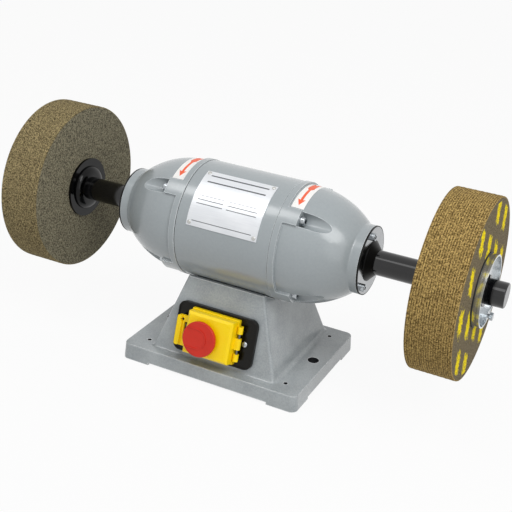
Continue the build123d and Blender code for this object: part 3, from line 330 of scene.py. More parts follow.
@dataclass(frozen=True, kw_only=True)
class FibreFinish(Finish):
    """Pressed fibre and grit: a rim of sheet edges, speckled faces, and yellow blocks on the outer face.

    Attributes:
        rim: pale colour of the rim.
        rim_shade: dark colour of the rim.
        pit: colour of the pits between two sheets.
        ink: colour of the blocks.
        rim_r: radius from which the rim's colour holds, mm.
        sheet: thickness of a sheet, mm.
        first_sheet: where the joints start, as a share of a sheet.
        lines: how dark the joints between sheets show on the rim.
        grit_mm: size of the specks on the faces.
        outer_x: distance from the middle at which the outer face lies, mm.
        pitch: distance from one block to the next in a row, mm.
        row: height of a row of blocks, mm.
        slope: fall of the rows along the face.
        start: where the first block lies, as a share of the pitch.
        block_w: half of a block's width, as a share of the pitch.
        block_h: half of a block's height, as a share of the row.
        rag: how far a block's ragged edge goes in and out, as a share of the pitch or row.
        rag_mm: size of the bites in a block's edge.
        takes_ink: value of the specks' noise from which the ink took.
        within: how far from the axis a block's middle may lie, mm.
        ink_r: radius that the ink keeps within, mm.
    """

    rim: str
    rim_shade: str
    pit: str
    ink: str = "#f3da14"
    rim_r: float = 98.6
    sheet: float = 2.5
    first_sheet: float = 0.3
    lines: float = 1.0
    grit_mm: float = 1.8
    outer_x: float = 275.2
    pitch: float = 37.5
    row: float = 46.5
    slope: float = 0.54
    start: float = 0.07
    block_w: float = 0.2
    block_h: float = 0.29
    rag: float = 0.6
    rag_mm: float = 3.2
    takes_ink: float = 0.42
    within: float = 90.0
    ink_r: float = 94.5

    def tint(
        self, tree: bpy.types.NodeTree, where: bpy.types.NodeSocket, marks: bpy.types.Node
    ) -> bpy.types.NodeSocket:
        """Colour the rim and faces, then print the blocks.

        Args:
            tree: the material's nodes.
            where: place on the wheel, in metres.
            marks: the noise of the fibres.

        Returns:
            The wheel's colour.
        """
        place = from_axis(tree, where)
        radius = axis_distance(tree, place.outputs["Y"], place.outputs["Z"])
        grit = add_node(tree, "ShaderNodeTexNoise", {
            "Vector": where, "Scale": per_mm(self.grit_mm), **GRIT_NOISE})
        fleck = add_node(tree, "ShaderNodeMapRange", {"Value": grit, **NARROW_SPAN})
        face = add_node(tree, "ShaderNodeMix", {
            0: fleck, MIX_A: linear(self.shade), MIX_B: linear(self.colour)}, data_type="RGBA")
        rim = self.edges(tree, place, marks, fleck)
        on_rim = add_node(tree, "ShaderNodeMath", {0: radius, 1: self.rim_r * MM}, operation="GREATER_THAN")
        bare = add_node(tree, "ShaderNodeMix", {
            0: on_rim, MIX_A: face.outputs[MIX_OUT], MIX_B: rim}, data_type="RGBA")
        inked = self.blocks(tree, where, place, radius, grit)
        printed = add_node(tree, "ShaderNodeMix", {
            0: inked, MIX_A: bare.outputs[MIX_OUT], MIX_B: linear(self.ink)}, data_type="RGBA")
        return printed.outputs[MIX_OUT]

    def edges(
        self, tree: bpy.types.NodeTree, place: bpy.types.Node, marks: bpy.types.Node, fleck: bpy.types.Node
    ) -> bpy.types.NodeSocket:
        """Colour the sheets' edges on the rim, with rows of dark pits between them.

        Args:
            tree: the material's nodes.
            place: place on the wheel, as separate x, y and z.
            marks: the noise of the fibres.
            fleck: the specks, 0 where they are dark.

        Returns:
            The rim's colour.
        """
        fibre = add_node(tree, "ShaderNodeMapRange", {"Value": marks, **NARROW_SPAN})
        rim = add_node(tree, "ShaderNodeMix", {
            0: fibre, MIX_A: linear(self.rim_shade), MIX_B: linear(self.rim)}, data_type="RGBA")
        sheets = add_node(tree, "ShaderNodeMath", {
            0: place.outputs["X"], 1: per_mm(self.sheet), 2: self.first_sheet}, operation="MULTIPLY_ADD")
        across = add_node(tree, "ShaderNodeMath", {0: sheets, 1: HALF}, operation="PINGPONG")
        joint = add_node(tree, "ShaderNodeMapRange", {
            "Value": across, **JOINT_SPAN, "To Max": self.lines})
        dark = add_node(tree, "ShaderNodeMath", {0: 1.0, 1: fleck}, operation="SUBTRACT")
        pits = add_node(tree, "ShaderNodeMath", {0: joint, 1: dark}, operation="MULTIPLY")
        pitted = add_node(tree, "ShaderNodeMix", {
            0: pits, MIX_A: rim.outputs[MIX_OUT], MIX_B: linear(self.pit)}, data_type="RGBA")
        return pitted.outputs[MIX_OUT]

    def blocks(
        self, tree: bpy.types.NodeTree, where: bpy.types.NodeSocket, place: bpy.types.Node,
        radius: bpy.types.NodeSocket, grit: bpy.types.Node
    ) -> bpy.types.Node:
        """Lay rows of ragged blocks on the outer face, each row half a step along, where the ink took.

        Args:
            tree: the material's nodes.
            where: place on the wheel, in metres.
            place: the same place from the axis, as separate x, y and z.
            radius: its distance from the axis.
            grit: the noise of the specks.

        Returns:
            1 where there is ink.
        """
        slant = add_node(tree, "ShaderNodeMath", {
            0: place.outputs["Y"], 1: self.slope, 2: place.outputs["Z"]}, operation="MULTIPLY_ADD")
        rows = add_node(tree, "ShaderNodeMath", {
            0: slant, 1: per_mm(self.row), 2: HALF}, operation="MULTIPLY_ADD")
        number = add_node(tree, "ShaderNodeMath", {0: rows}, operation="FLOOR")
        shift = add_node(tree, "ShaderNodeMath", {
            0: number, 1: HALF, 2: self.start}, operation="MULTIPLY_ADD")
        columns = add_node(tree, "ShaderNodeMath", {
            0: place.outputs["Y"], 1: per_mm(self.pitch), 2: shift}, operation="MULTIPLY_ADD")
        drawn = add_node(tree, "ShaderNodeMapping", {"Vector": where, "Scale": RAG_STRETCH})
        ragged = add_node(tree, "ShaderNodeTexNoise", {
            "Vector": drawn, "Scale": per_mm(self.rag_mm), **RAG_NOISE})
        reach = add_node(tree, "ShaderNodeMath", {0: place.outputs["X"]}, operation="ABSOLUTE")
        tests = [
            add_node(tree, "ShaderNodeMath", {0: reach, 1: self.outer_x * MM}, operation="GREATER_THAN"),
            add_node(tree, "ShaderNodeMath", {0: radius, 1: self.ink_r * MM}, operation="LESS_THAN"),
            add_node(tree, "ShaderNodeMath", {0: grit, 1: self.takes_ink}, operation="GREATER_THAN"),
            self.whole_blocks(tree, number, columns, shift),
        ]
        for steps, half in ((columns, self.block_w), (rows, self.block_h)):
            off_gap = add_node(tree, "ShaderNodeMath", {0: steps, 1: HALF}, operation="PINGPONG")
            off_middle = add_node(tree, "ShaderNodeMath", {0: HALF, 1: off_gap}, operation="SUBTRACT")
            edge = add_node(tree, "ShaderNodeMath", {
                0: ragged, 1: self.rag, 2: half - self.rag / 2}, operation="MULTIPLY_ADD")
            tests.append(add_node(tree, "ShaderNodeMath", {0: off_middle, 1: edge}, operation="LESS_THAN"))
        inked = tests[0]
        for test in tests[1:]:
            inked = add_node(tree, "ShaderNodeMath", {0: inked, 1: test}, operation="MULTIPLY")
        return inked

    def whole_blocks(
        self, tree: bpy.types.NodeTree, number: bpy.types.Node, columns: bpy.types.Node, shift: bpy.types.Node
    ) -> bpy.types.Node:
        """Keep the blocks that lie whole on the face.

        Args:
            tree: the material's nodes.
            number: which row a place is in.
            columns: how many blocks along the row it is.
            shift: how far the row is shifted, in blocks.

        Returns:
            1 in the blocks that are kept.
        """
        step = add_node(tree, "ShaderNodeMath", {0: columns}, operation="FLOOR")
        past = add_node(tree, "ShaderNodeMath", {0: step, 1: shift}, operation="SUBTRACT")
        middle_y = add_node(tree, "ShaderNodeMath", {
            0: past, 1: self.pitch * MM, 2: self.pitch * MM / 2}, operation="MULTIPLY_ADD")
        level = add_node(tree, "ShaderNodeMath", {0: number, 1: self.row * MM}, operation="MULTIPLY")
        middle_z = add_node(tree, "ShaderNodeMath", {
            0: middle_y, 1: -self.slope, 2: level}, operation="MULTIPLY_ADD")
        radius = axis_distance(tree, middle_y.outputs[0], middle_z.outputs[0])
        return add_node(tree, "ShaderNodeMath", {0: radius, 1: self.within * MM}, operation="LESS_THAN")


@dataclass(frozen=True)
class FloorPaper:
    """Matt white paper under the machine: an even pale floor that keeps a soft shadow.

    Attributes:
        name: what it is.
        colour: its colour in the light.
        glow: how much of what the camera sees of it is plain white.
        grain_mm: size of its grain.
        depth_mm: depth of its grain.
    """

    name: str = "matt_white_paper"
    colour: str = "#d9d9d9"
    glow: float = 0.93
    grain_mm: float = 4.0
    depth_mm: float = 0.02

    def material(self) -> bpy.types.Material:
        """Make the paper, nearly white to the camera and in reflections.

        Returns:
            The paper as a Blender material.
        """
        paper = bpy.data.materials.new(self.name)
        tree = clear_nodes(paper)
        where = add_node(tree, "ShaderNodeTexCoord").outputs["Object"]
        grain = add_node(tree, "ShaderNodeTexNoise", {"Vector": where, "Scale": per_mm(self.grain_mm)})
        bump = add_node(tree, "ShaderNodeBump", {"Height": grain, "Distance": self.depth_mm * MM})
        matt = add_node(tree, "ShaderNodeBsdfDiffuse", {"Color": linear(self.colour), "Normal": bump})
        white = add_node(tree, "ShaderNodeEmission", {"Strength": 1.0})
        share = add_node(tree, "ShaderNodeMath", {
            0: shows_background(tree), 1: self.glow}, operation="MULTIPLY")
        both = add_node(tree, "ShaderNodeMixShader", {0: share, 1: matt, 2: white})
        add_node(tree, "ShaderNodeOutputMaterial", {"Surface": both})
        return paper


# Gloss enamel sprayed on smooth castings: soft reflections, a faint orange peel, and a painted highlight that
# pales the edges.
GLOSS_ENAMEL = Finish(
    "gloss_enamel_sprayed", "#9ba2a5", "#969da0", 0.24, swing=0.03, coat=0.4, grain_mm=3.0,
    depth_mm=0.006, mottle_mm=90, worn="#d2d8da", edge_mm=1.0)
# Gloss enamel on a sand casting: a speckled skin, bright in its fillets, and pale along its edges with a
# painted highlight and some rubbed paint.
CAST_ENAMEL = Finish(
    "gloss_enamel_cast", "#a8aeb0", "#8f9598", 0.17, coat=0.4, grain_mm=1.7, depth_mm=0.011,
    worn="#f0f3f3", edge_mm=1.6)
# Zinc-plated steel sheet: a dull blue-white bloom.
ZINC_SHEET = Finish(
    "zinc_plated_sheet", "#b9bec2", "#a3a9ad", 0.36, metallic=1.0, grain_mm=3.0, depth_mm=0.01)
# Zinc-plated screws: bright, with a little scuffing.
ZINC_SCREW = Finish(
    "zinc_plated_screw", "#b9bdc0", "#9a9fa3", 0.2, metallic=1.0, grain_mm=0.6, depth_mm=0.01)
# Brushed aluminium sheet: pale, with fine lines along the plate.
BRUSHED_ALUMINIUM = Finish(
    "brushed_aluminium_plate", "#e6e8eb", "#dadde1", 0.33, metallic=0.5, grain=Grain.BRUSHED,
    grain_mm=0.7, depth_mm=0.01)
# Aluminium drive rivets: bright dots, a little dull.
RIVET_ALUMINIUM = Finish("aluminium_rivet", "#cfcfcc", "#b4b4b0", 0.3, metallic=1.0, grain_mm=0.5)
# Stacked electrical steel: dark blue-grey edges.
CORE_STEEL = Finish("laminated_core_steel", "#5f6468", "#484c50", 0.45, metallic=1.0, grain_mm=0.8)
# Varnished copper wire: red-brown and glossy.
WINDING_COPPER = Finish(
    "varnished_copper_winding", "#b5622e", "#8a431c", 0.3, coat=0.5, grain_mm=1.2, depth_mm=0.1)
# Die-cast aluminium: grey, with a grainy skin.
ROTOR_ALUMINIUM = Finish("die_cast_aluminium", "#b9bcbf", "#9da1a5", 0.4, metallic=1.0)
# Blackened turned steel: near black, with a soft gleam along it.
BLACKENED_STEEL = Finish(
    "blackened_turned_steel", "#08080a", "#040405", 0.09, swing=0.02, specular=0.55, grain=Grain.TURNED,
    grain_mm=0.8, depth_mm=0.003)
# Hardened bearing steel: a mirror.
BEARING_STEEL = Finish("ground_bearing_steel", "#d4d6d8", "#bfc2c5", 0.1, swing=0.03, metallic=1.0)
# Moulded rubber: dull black.
GASKET_RUBBER = Finish("moulded_gasket_rubber", "#0a0a0a", "#050505", 0.4, specular=0.2, grain_mm=0.8)
# Bright turned steel: mirror-like, with fine rings.
TURNED_STEEL = Finish(
    "bright_turned_steel", "#a9abad", "#9a9c9e", 0.16, swing=0.04, metallic=1.0, grain=Grain.TURNED,
    grain_mm=0.9, depth_mm=0.006)
# Black gloss enamel on a turned flange: deep black with hard highlights.
BLACK_ENAMEL = Finish(
    "black_gloss_enamel", "#020203", "#010101", 0.1, specular=0.2, grain_mm=2.0, depth_mm=0.006)
# Laminated nylon fibre with grit: a speckled, matt mat. The left wheel is drab, the right one tan.
# Fibres and grit are drawn about three times as coarse as they are, because they wouldn't show.
DRAB_FIBRE = FibreFinish(
    "laminated_drab_nylon_fibre", "#8c866f", "#464238", 0.9, specular=0.15, grain_mm=1.6, depth_mm=0.4,
    rim="#a8986e", rim_shade="#4e4430", pit="#352c1c", lines=0.45)
TAN_FIBRE = FibreFinish(
    "laminated_tan_nylon_fibre", "#857960", "#4a4130", 0.9, specular=0.15, grain_mm=1.6, depth_mm=0.4,
    rim="#c2a566", rim_shade="#67522d", pit="#35280f")
# Rubber washer: dull black edge.
WASHER_RUBBER = Finish("rubber_washer", "#111111", "#090909", 0.6, grain_mm=0.9)
# Bright zinc on a spun steel cup: silvery, with faint spinning rings.
BRIGHT_ZINC = Finish(
    "bright_zinc_spun_steel", "#d9dcde", "#c4c9cc", 0.17, metallic=1.0, grain=Grain.TURNED,
    grain_mm=0.9, depth_mm=0.006)
# Moulded black ABS: a fine spark texture.
BLACK_ABS = Finish("moulded_black_abs", "#0c0a05", "#070603", 0.25, specular=0.22, grain_mm=0.5)
# Moulded yellow ABS: warm and glossy.
YELLOW_ABS = Finish(
    "moulded_yellow_abs", "#ffdd0c", "#ffd806", 0.28, specular=0.3, grain_mm=0.6, depth_mm=0.012,
    mottle_mm=15)
# Moulded red ABS: satin, slightly faded.
RED_ABS = Finish(
    "moulded_red_abs", "#d02d1c", "#c62918", 0.36, specular=0.35, grain_mm=0.6, depth_mm=0.012,
    mottle_mm=12)
# Moulded green ABS: satin.
GREEN_ABS = Finish("moulded_green_abs", "#1f9149", "#1a8240", 0.36, grain_mm=0.6, depth_mm=0.012)
# Drawn steel wire: plain and bright.
DRAWN_STEEL = Finish(
    "drawn_steel_pin", "#6f7274", "#5d6063", 0.3, metallic=1.0, grain_mm=0.5, depth_mm=0.01)
# Grey polyamide: dull and slightly waxy.
GREY_POLYAMIDE = Finish("moulded_grey_polyamide", "#6d7073", "#606366", 0.5, grain_mm=0.6)
# Black PVC sheath: dull sheen.
BLACK_PVC = Finish("extruded_black_pvc", "#191919", "#101010", 0.45)
# White vinyl film: smooth, slightly glossy.
WHITE_VINYL = Finish("white_vinyl_film", "#f7f5f2", "#eeece9", 0.3, grain_mm=1.5, depth_mm=0.01)
# Screen-printed orange ink: flat and even.
ORANGE_INK = Finish("orange_screen_ink", "#f0663c", "#e95c33", 0.42, grain_mm=0.8, depth_mm=0.01)
# Printed grey ink: flat.
GREY_INK = Finish("grey_plate_ink", "#54585d", "#474b50", 0.5, grain_mm=0.8, depth_mm=0.01)
# Painted shade in the drilled holes of the base: near black, standing for the shade down in them.
BORE_PAINTED_SHADE = Finish("bore_painted_shade", "#15171b", "#0d0e11", 0.6, grain_mm=0.8, depth_mm=0.05)
# Painted shade in the joints between the housing and the bells: dull near black, standing for the shade in
# them.
JOINT_PAINTED_SHADE = Finish("black_joint_sealant", "#1c1d1f", "#131415", 0.7, grain_mm=0.8)

SLOT_FINISH: dict[str, Finish] = {
    "cast_grey": CAST_ENAMEL,
    "motor_grey": GLOSS_ENAMEL,
    "plated_sheet": ZINC_SHEET,
    "plated_screw": ZINC_SCREW,
    "plate_silver": BRUSHED_ALUMINIUM,
    "rivet_alloy": RIVET_ALUMINIUM,
    "core_steel": CORE_STEEL,
    "winding_copper": WINDING_COPPER,
    "rotor_alloy": ROTOR_ALUMINIUM,
    "black_steel": BLACKENED_STEEL,
    "bearing_steel": BEARING_STEEL,
    "gasket_rubber": GASKET_RUBBER,
    "cap_steel": TURNED_STEEL,
    "flange_black": BLACK_ENAMEL,
    "wheel_fibre": TAN_FIBRE,
    "washer_rubber": WASHER_RUBBER,
    "cup_zinc": BRIGHT_ZINC,
    "switch_black": BLACK_ABS,
    "switch_yellow": YELLOW_ABS,
    "stop_red": RED_ABS,
    "start_green": GREEN_ABS,
    "pin_steel": DRAWN_STEEL,
    "contactor_grey": GREY_POLYAMIDE,
    "lead_black": BLACK_PVC,
}


def round_axis(x: float, radius: float, angle: float) -> Vector:
    """A point about the spindle's axis, in metres.

    Args:
        x: distance along the axis, mm.
        radius: distance from the axis, mm.
        angle: degrees from the front towards the top.

    Returns:
        The point.
    """
    turn = math.radians(angle)
    return Vector((x, -radius * math.cos(turn), AXIS_H + radius * math.sin(turn))) * MM


def sweep(
    mesh: bmesh.types.BMesh, outline: Sequence[tuple[float, float]], start: float, end: float, steps: int,
    closed: bool = False
) -> None:
    """Turn an outline of (x, radius) points about the spindle's axis.

    Args:
        mesh: the bmesh that gets the shape.
        outline: the points, in mm.
        start: first angle, degrees from the front towards the top.
        end: last angle.
        steps: how many steps the turn takes.
        closed: whether the outline's last point joins its first.
    """
    verts = [mesh.verts.new(round_axis(x, radius, start)) for x, radius in outline]
    ends = verts[1:] + (verts[:1] if closed else [])
    edges = [mesh.edges.new(pair) for pair in zip(verts, ends)]
    bmesh.ops.spin(
        mesh, geom=verts + edges, cent=(0, 0, AXIS_H * MM), axis=(-1, 0, 0), dvec=(0, 0, 0),
        angle=math.radians(end - start), steps=steps, use_merge=abs(end - start) >= FULL_TURN)


def turn_outwards(mesh: bmesh.types.BMesh) -> None:
    """Make all faces point outwards."""
    bmesh.ops.recalc_face_normals(mesh, faces=mesh.faces[:])


def thicken(mesh: bmesh.types.BMesh) -> None:
    """Give sheets of film or ink their thickness.

    Args:
        mesh: the sheets, as single faces.
    """
    turn_outwards(mesh)
    bmesh.ops.solidify(mesh, geom=mesh.faces[:], thickness=FILM_T * MM)
    turn_outwards(mesh)


def put(name: str, data: bpy.types.ID) -> bpy.types.Object:
    """Put a new object in the scene.

    Args:
        name: the object's name.
        data: its mesh, lamp or camera.

    Returns:
        The object.
    """
    thing = bpy.data.objects.new(name, data)
    bpy.context.scene.collection.objects.link(thing)
    return thing


def piece(name: str, mesh: bmesh.types.BMesh, finish: Finish, body: str) -> bpy.types.Object:
    """Make a finished piece of a bmesh and let it ride.

    Args:
        name: the piece's name.
        mesh: its shape, which is freed.
        finish: its surface.
        body: the CAD body that it rides on.

    Returns:
        The piece's object.
    """
    data = bpy.data.meshes.new(name)
    mesh.to_mesh(data)
    mesh.free()
    data.shade_smooth()
    data.set_sharp_from_angle(angle=math.radians(SHARP_TURN))
    data.materials.append(finish.material())
    thing = put(name, data)
    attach(thing, body)
    LOG.info("%s: %d faces on %s", name, len(data.polygons), body)
    return thing


@dataclass
class ArrowSticker:
    """Turning-direction sticker on an end bell, white film with an orange arrow.

    Attributes:
        side: which bell it is on.
        x0: edge next to the band, mm from the middle.
        x1: far edge.
        front: angle of its front edge.
        back: angle of its back edge.
        film: how high the film stands on the paint, mm.
        ink: how high the arrow stands on the paint, mm.
        spans: steps of the film along the dome.
        steps: steps of the film round the dome.
        half_arrow: one half of the arrow, x in mm from its middle line and angle in degrees.
        slices: angles at which the arrow is cut, so that it bends.
        dome_x: middle of the dome's arc, mm from the middle.
        dome_r: radius of the dome's arc.
        dome_drop: how far that arc's middle lies past the axis.
    """

    side: Side
    x0: float = 66.7
    x1: float = 81.5
    front: float = 57.0
    back: float = 114.0
    film: float = 0.12
    ink: float = 0.2
    spans: int = 4
    steps: int = 28
    half_arrow: tuple[tuple[float, float], ...] = (
        (0.0, 60.5), (4.4, 68.2), (1.5, 67.4), (1.5, 85.5), (3.6, 88.5), (3.6, 107.0), (0.0, 103.0))
    slices: range = range(62, 107, 2)
    dome_x: float = 69.97
    dome_r: float = 101.38
    dome_drop: float = 34.78

    def skin(self, x: float, lift: float) -> float:
        """Radius of the dome at a distance from the middle, with a lift, in mm."""
        return math.sqrt(self.dome_r ** 2 - (abs(x) - self.dome_x) ** 2) - self.dome_drop + lift

    def build_film(self) -> bpy.types.Object:
        """Lay the white film on the dome.

        Returns:
            The film.
        """
        mesh = bmesh.new()
        shares = [i / self.spans for i in range(self.spans + 1)]
        xs = [self.side.value * (self.x0 + (self.x1 - self.x0) * share) for share in shares]
        sweep(mesh, [(x, self.skin(x, self.film)) for x in xs], self.front, self.back, self.steps)
        thicken(mesh)
        return piece(f"{self.side.word}_arrow_film", mesh, WHITE_VINYL, "machine_frame")

    def build_arrow(self) -> bpy.types.Object:
        """Cut the arrow flat, slice it so that it bends, and lay it on the film.

        Returns:
            The arrow.
        """
        other_half = [(-x, angle) for x, angle in reversed(self.half_arrow[1:-1])]
        mesh = bmesh.new()
        mesh.faces.new([mesh.verts.new((x, angle, 0)) for x, angle in [*self.half_arrow, *other_half]])
        for angle in self.slices:
            whole = mesh.verts[:] + mesh.edges[:] + mesh.faces[:]
            bmesh.ops.bisect_plane(mesh, geom=whole, plane_co=(0, angle, 0), plane_no=(0, 1, 0))
        middle = self.side.value * (self.x0 + self.x1) / 2
        for vert in mesh.verts:
            x = middle + vert.co.x
            vert.co = round_axis(x, self.skin(x, self.ink), vert.co.y)
        thicken(mesh)
        return piece(f"{self.side.word}_arrow", mesh, ORANGE_INK, "machine_frame")


@dataclass
class JointSeal:
    """Painted shade in the joint between the housing and an end bell: a dark bead where the joint's shade
    falls.

    Attributes:
        side: which joint.
        top: radius that the dark bead fills the joint to, mm.
        half: half of its width at the top.
        x: the joint's distance from the middle.
        bottom: radius of the joint's bottom.
        steps: steps round the joint.
    """

    side: Side
    top: float
    half: float
    x: float = 58.3
    bottom: float = 67.85
    steps: int = 120

    def build(self) -> bpy.types.Object:
        """Run a bead round the joint.

        Returns:
            The bead.
        """
        mesh = bmesh.new()
        x = self.side.value * self.x
        outline = [(x - self.half, self.top), (x, self.bottom), (x + self.half, self.top)]
        sweep(mesh, outline, 0, FULL_TURN, self.steps, closed=True)
        turn_outwards(mesh)
        return piece(f"{self.side.word}_joint_seal", mesh, JOINT_PAINTED_SHADE, "machine_frame")


@dataclass
class BorePaintedShade:
    """Painted shade on the walls of the drilled holes in the painted base: dark linings for the shade inside
    them.

    Attributes:
        bench: places of the bench holes, x and y in mm.
        bench_r: radius of a bench hole.
        stand: places of the small holes.
        stand_r: radius of a small hole.
        low: height of a wall's lower end, mm.
        high: height of its upper end, under the paint's edge.
        skin: how far the dark lining stands in the hole, mm.
        gap: how far the layer's back stands off the hole's wall, mm.
        steps: steps round a hole.
    """

    bench: tuple[tuple[float, float], ...] = ((-96.25, 0.0), (96.25, 0.0))
    bench_r: float = 6.75
    stand: tuple[tuple[float, float], ...] = ((-90.0, -63.5), (90.0, -63.5), (-90.0, 63.5), (90.0, 63.5))
    stand_r: float = 2.5
    low: float = 3.2
    high: float = 19.7
    skin: float = 0.08
    gap: float = 0.02
    steps: int = 32

    def build(self) -> bpy.types.Object:
        """Line every hole.

        Returns:
            The linings as one piece.
        """
        mesh = bmesh.new()
        for places, radius in ((self.bench, self.bench_r), (self.stand, self.stand_r)):
            for x, y in places:
                self.line(mesh, x, y, radius)
        turn_outwards(mesh)
        # The linings carry painted shade, near black, for the shade inside the holes.
        return piece("base_bore_shade_walls", mesh, BORE_PAINTED_SHADE, "machine_frame")

    def line(self, mesh: bmesh.types.BMesh, x: float, y: float, radius: float) -> None:
        """Turn a thin sleeve about the hole's own axis.

        Args:
            mesh: the bmesh that gets it.
            x: the hole's place, mm.
            y: the hole's place, mm.
            radius: the hole's radius.
        """
        inner, outer = radius - self.skin, radius - self.gap
        outline = [(inner, self.low), (outer, self.low), (outer, self.high), (inner, self.high)]
        verts = [mesh.verts.new(Vector((x + r, y, z)) * MM) for r, z in outline]
        edges = [mesh.edges.new((verts[i - 1], verts[i])) for i in range(len(verts))]
        bmesh.ops.spin(
            mesh, geom=verts + edges, cent=Vector((x, y, 0)) * MM, axis=(0, 0, 1), dvec=(0, 0, 0),
            angle=math.tau, steps=self.steps, use_merge=True)


@dataclass
class PlatePrint:
    """Plain ruled lines on the rating plate.

    Attributes:
        radius: radius on which the ink lies, mm.
        steps: steps of a line round the plate's curve.
        rules: each line's x from and x to in mm, its angle in degrees and its weight.
    """

    radius: float = 69.36
    steps: int = 2
    rules: tuple[tuple[float, float, float, RuleWeight], ...] = (
        (-37.0, 35.0, 68.5, RuleWeight.BOLD),
        (-37.0, 35.0, 60.5, RuleWeight.BOLD),
        (-38.5, -6.5, 45.0, RuleWeight.FINE),
        (-38.5, -6.5, 41.0, RuleWeight.FINE),
        (-38.5, -6.5, 37.0, RuleWeight.FINE),
        (-1.5, 35.0, 45.0, RuleWeight.FINE),
        (-1.5, 35.0, 41.0, RuleWeight.FINE),
        (-1.5, 35.0, 37.0, RuleWeight.FINE),
        (-38.5, 35.0, 20.5, RuleWeight.FINE),
    )

    def build(self) -> bpy.types.Object:
        """Lay every line on the plate's curve.

        Returns:
            The lines as one piece.
        """
        mesh = bmesh.new()
        for x0, x1, angle, weight in self.rules:
            ends = [(x0, self.radius), (x1, self.radius)]
            sweep(mesh, ends, angle - weight.value, angle + weight.value, self.steps)
        thicken(mesh)
        return piece("plate_rules", mesh, GREY_INK, "machine_frame")


@dataclass
class LayeredWheel:
    """Polishing wheel of pressed fibre sheets.

    Attributes:
        side: which end it is on.
        x0: inner face, mm from the middle.
        width: width of the rim.
        radius: radius of the rim.
        bore: radius of the bore.
        layers: number of sheets.
        groove: depth of the groove between two sheets.
        foot: where a sheet's crown starts to rise, as a share of the sheet.
        crown: where it has risen.
        wear: middle of the depth that the sheets are worn down by.
        wear_turn: how far that depth goes on from one sheet to the next, in radians of a sine.
        corner: how far the outermost edges are rounded.
        steps: steps round the rim.
    """

    side: Side
    x0: float = 225.5
    width: float = 50.0
    radius: float = 100.0
    bore: float = 25.0
    layers: int = 20
    groove: float = 0.45
    foot: float = 0.08
    crown: float = 0.3
    wear: float = 0.12
    wear_turn: float = 2.4
    corner: float = 1.2
    steps: int = 128

    def build(self) -> bpy.types.Object:
        """Turn the wheel's outline, one shallow crown for each sheet.

        Returns:
            The wheel, in place of the plain one.
        """
        sheet = self.width / self.layers
        outline = [(self.x0, self.bore), (self.x0, self.radius - self.corner)]
        for number in range(self.layers):
            left = self.x0 + number * sheet
            worn = self.wear * (1 + math.sin(self.wear_turn * number))
            outline += [
                (left + self.foot * sheet, self.radius - self.groove),
                (left + self.crown * sheet, self.radius - worn),
                (left + (1 - self.crown) * sheet, self.radius - worn),
                (left + (1 - self.foot) * sheet, self.radius - self.groove),
            ]
        far = self.x0 + self.width
        outline += [(far, self.radius - self.corner), (far, self.bore)]
        mesh = bmesh.new()
        sweep(mesh, [(self.side.value * x, r) for x, r in outline], 0, FULL_TURN, self.steps, closed=True)
        turn_outwards(mesh)
        finish = DRAB_FIBRE if self.side is Side.LEFT else TAN_FIBRE
        wheel = piece(f"{self.side.word}_fibre_wheel", mesh, finish, "spindle_set")
        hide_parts(f"{self.side.word}_polishing_wheel")
        return wheel


@dataclass(frozen=True)
class SoftBox:
    """Round soft lamp that faces the machine.

    Attributes:
        name: its name.
        place: where it hangs, metres.
        size: its width and height, metres.
        power: its power, watts.
    """

    name: str
    place: tuple[float, float, float]
    size: tuple[float, float]
    power: float

    def hang(self) -> None:
        """Hang the lamp and turn it to the middle of the spindle."""
        box = bpy.data.lights.new(self.name, "AREA")
        box.shape = "ELLIPSE"
        box.size, box.size_y = self.size
        box.energy = self.power
        lamp = put(self.name, box)
        lamp.location = self.place
        lamp.rotation_mode = "QUATERNION"
        aim = Vector(self.place) - Vector((0.0, 0.0, AXIS_H * MM))
        lamp.rotation_quaternion = aim.to_track_quat("Z", "Y")


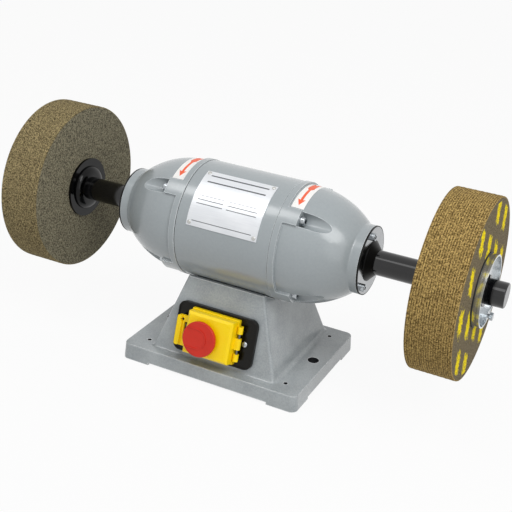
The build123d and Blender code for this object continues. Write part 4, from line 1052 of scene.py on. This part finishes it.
@dataclass
class Studio:
    """Pale floor, soft lamps, white surround and the photograph's camera.

    Attributes:
        floor_size: half of the floor's side, metres.
        floor_parts: parts that each side of the floor is divided into.
        ambient: light that the surround gives to matt surfaces.
        lamps: two boxes high on the left and right, a soft one between, and a low fill.
        target: what the camera looks at, mm.
        azimuth: how far it stands to the right of the front, degrees.
        elevation: how far it stands above, degrees.
        roll: how far it leans, degrees.
        distance: how far it stands off, mm.
        lens: its focal length, mm.
        sensor: width of its sensor, mm.
    """

    floor_size: float = 4.0
    floor_parts: int = 4
    ambient: float = 0.48
    lamps: tuple[SoftBox, ...] = (
        SoftBox("left_box", (-0.58, -0.48, 1.4), (0.42, 0.46), 3.0),
        SoftBox("right_box", (0.98, -0.57, 1.33), (0.85, 0.85), 8.9),
        SoftBox("overhead_box", (0.2, -0.63, 1.5), (1.2, 0.6), 3.5),
        SoftBox("right_fill", (1.5, -0.7, 0.6), (1.7, 1.3), 4.4),
    )
    target: tuple[float, float, float] = (12.57, 0.0, 133.0)
    azimuth: float = 25.09
    elevation: float = 24.94
    roll: float = 4.01
    distance: float = 1153.62
    lens: float = 69.91
    sensor: float = 36.0

    def lay_floor(self) -> None:
        """Lay a pale floor that the camera sees as nearly white and that keeps the machine's shadow."""
        mesh = bmesh.new()
        bmesh.ops.create_grid(
            mesh, x_segments=self.floor_parts, y_segments=self.floor_parts, size=self.floor_size)
        data = bpy.data.meshes.new("studio_floor")
        mesh.to_mesh(data)
        mesh.free()
        data.materials.append(FloorPaper().material())
        floor = put("studio_floor", data)

    def hang_surround(self) -> None:
        """Hang a white surround that lights matt surfaces with a lower strength."""
        world = bpy.data.worlds.new("white_surround")
        tree = clear_nodes(world)
        strength = add_node(tree, "ShaderNodeMapRange", {
            "Value": shows_background(tree), "To Min": self.ambient})
        back = add_node(tree, "ShaderNodeBackground", {"Color": linear("#ffffff"), "Strength": strength})
        add_node(tree, "ShaderNodeOutputWorld", {"Surface": back})
        bpy.context.scene.world = world

    def place_camera(self) -> None:
        """Stand the camera where the photograph was taken from."""
        turn, rise = math.radians(self.azimuth), math.radians(self.elevation)
        back = Vector((math.sin(turn) * math.cos(rise), -math.cos(turn) * math.cos(rise), math.sin(rise)))
        data = bpy.data.cameras.new("photo_camera")
        data.sensor_width = self.sensor
        data.lens = self.lens
        camera = put("photo_camera", data)
        camera.location = (Vector(self.target) + back * self.distance) * MM
        camera.rotation_mode = "QUATERNION"
        lean = Quaternion((0, 0, 1), math.radians(self.roll))
        camera.rotation_quaternion = back.to_track_quat("Z", "Y") @ lean
        bpy.context.scene.camera = camera

    def build(self) -> None:
        """Set up the whole studio."""
        self.lay_floor()
        self.hang_surround()
        for lamp in self.lamps:
            lamp.hang()
        self.place_camera()
        bpy.context.scene.view_settings.view_transform = "Standard"


def dress_nodes() -> None:
    """Give every carried-over CAD node the finish of its material slot."""
    for name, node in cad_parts.items():
        for number, old in enumerate(node.data.materials):
            finish = SLOT_FINISH[old.name.split(".")[0]]
            node.data.materials[number] = finish.material()
            LOG.info("%s: %s", name, finish.name)


def main() -> None:
    """Dress the machine, add its small pieces and set up the studio."""
    logging.basicConfig(level=logging.INFO, format="%(name)s %(message)s")
    dress_nodes()
    # Painted shade: dark beads in the joints between the housing and the bells.
    JointSeal(Side.LEFT, top=68.6, half=0.7).build()
    JointSeal(Side.RIGHT, top=68.25, half=0.33).build()
    BorePaintedShade().build()
    for side in Side:
        LayeredWheel(side).build()
        sticker = ArrowSticker(side)
        sticker.build_film()
        sticker.build_arrow()
    PlatePrint().build()
    Studio().build()


if __name__ == "__main__":
    main()
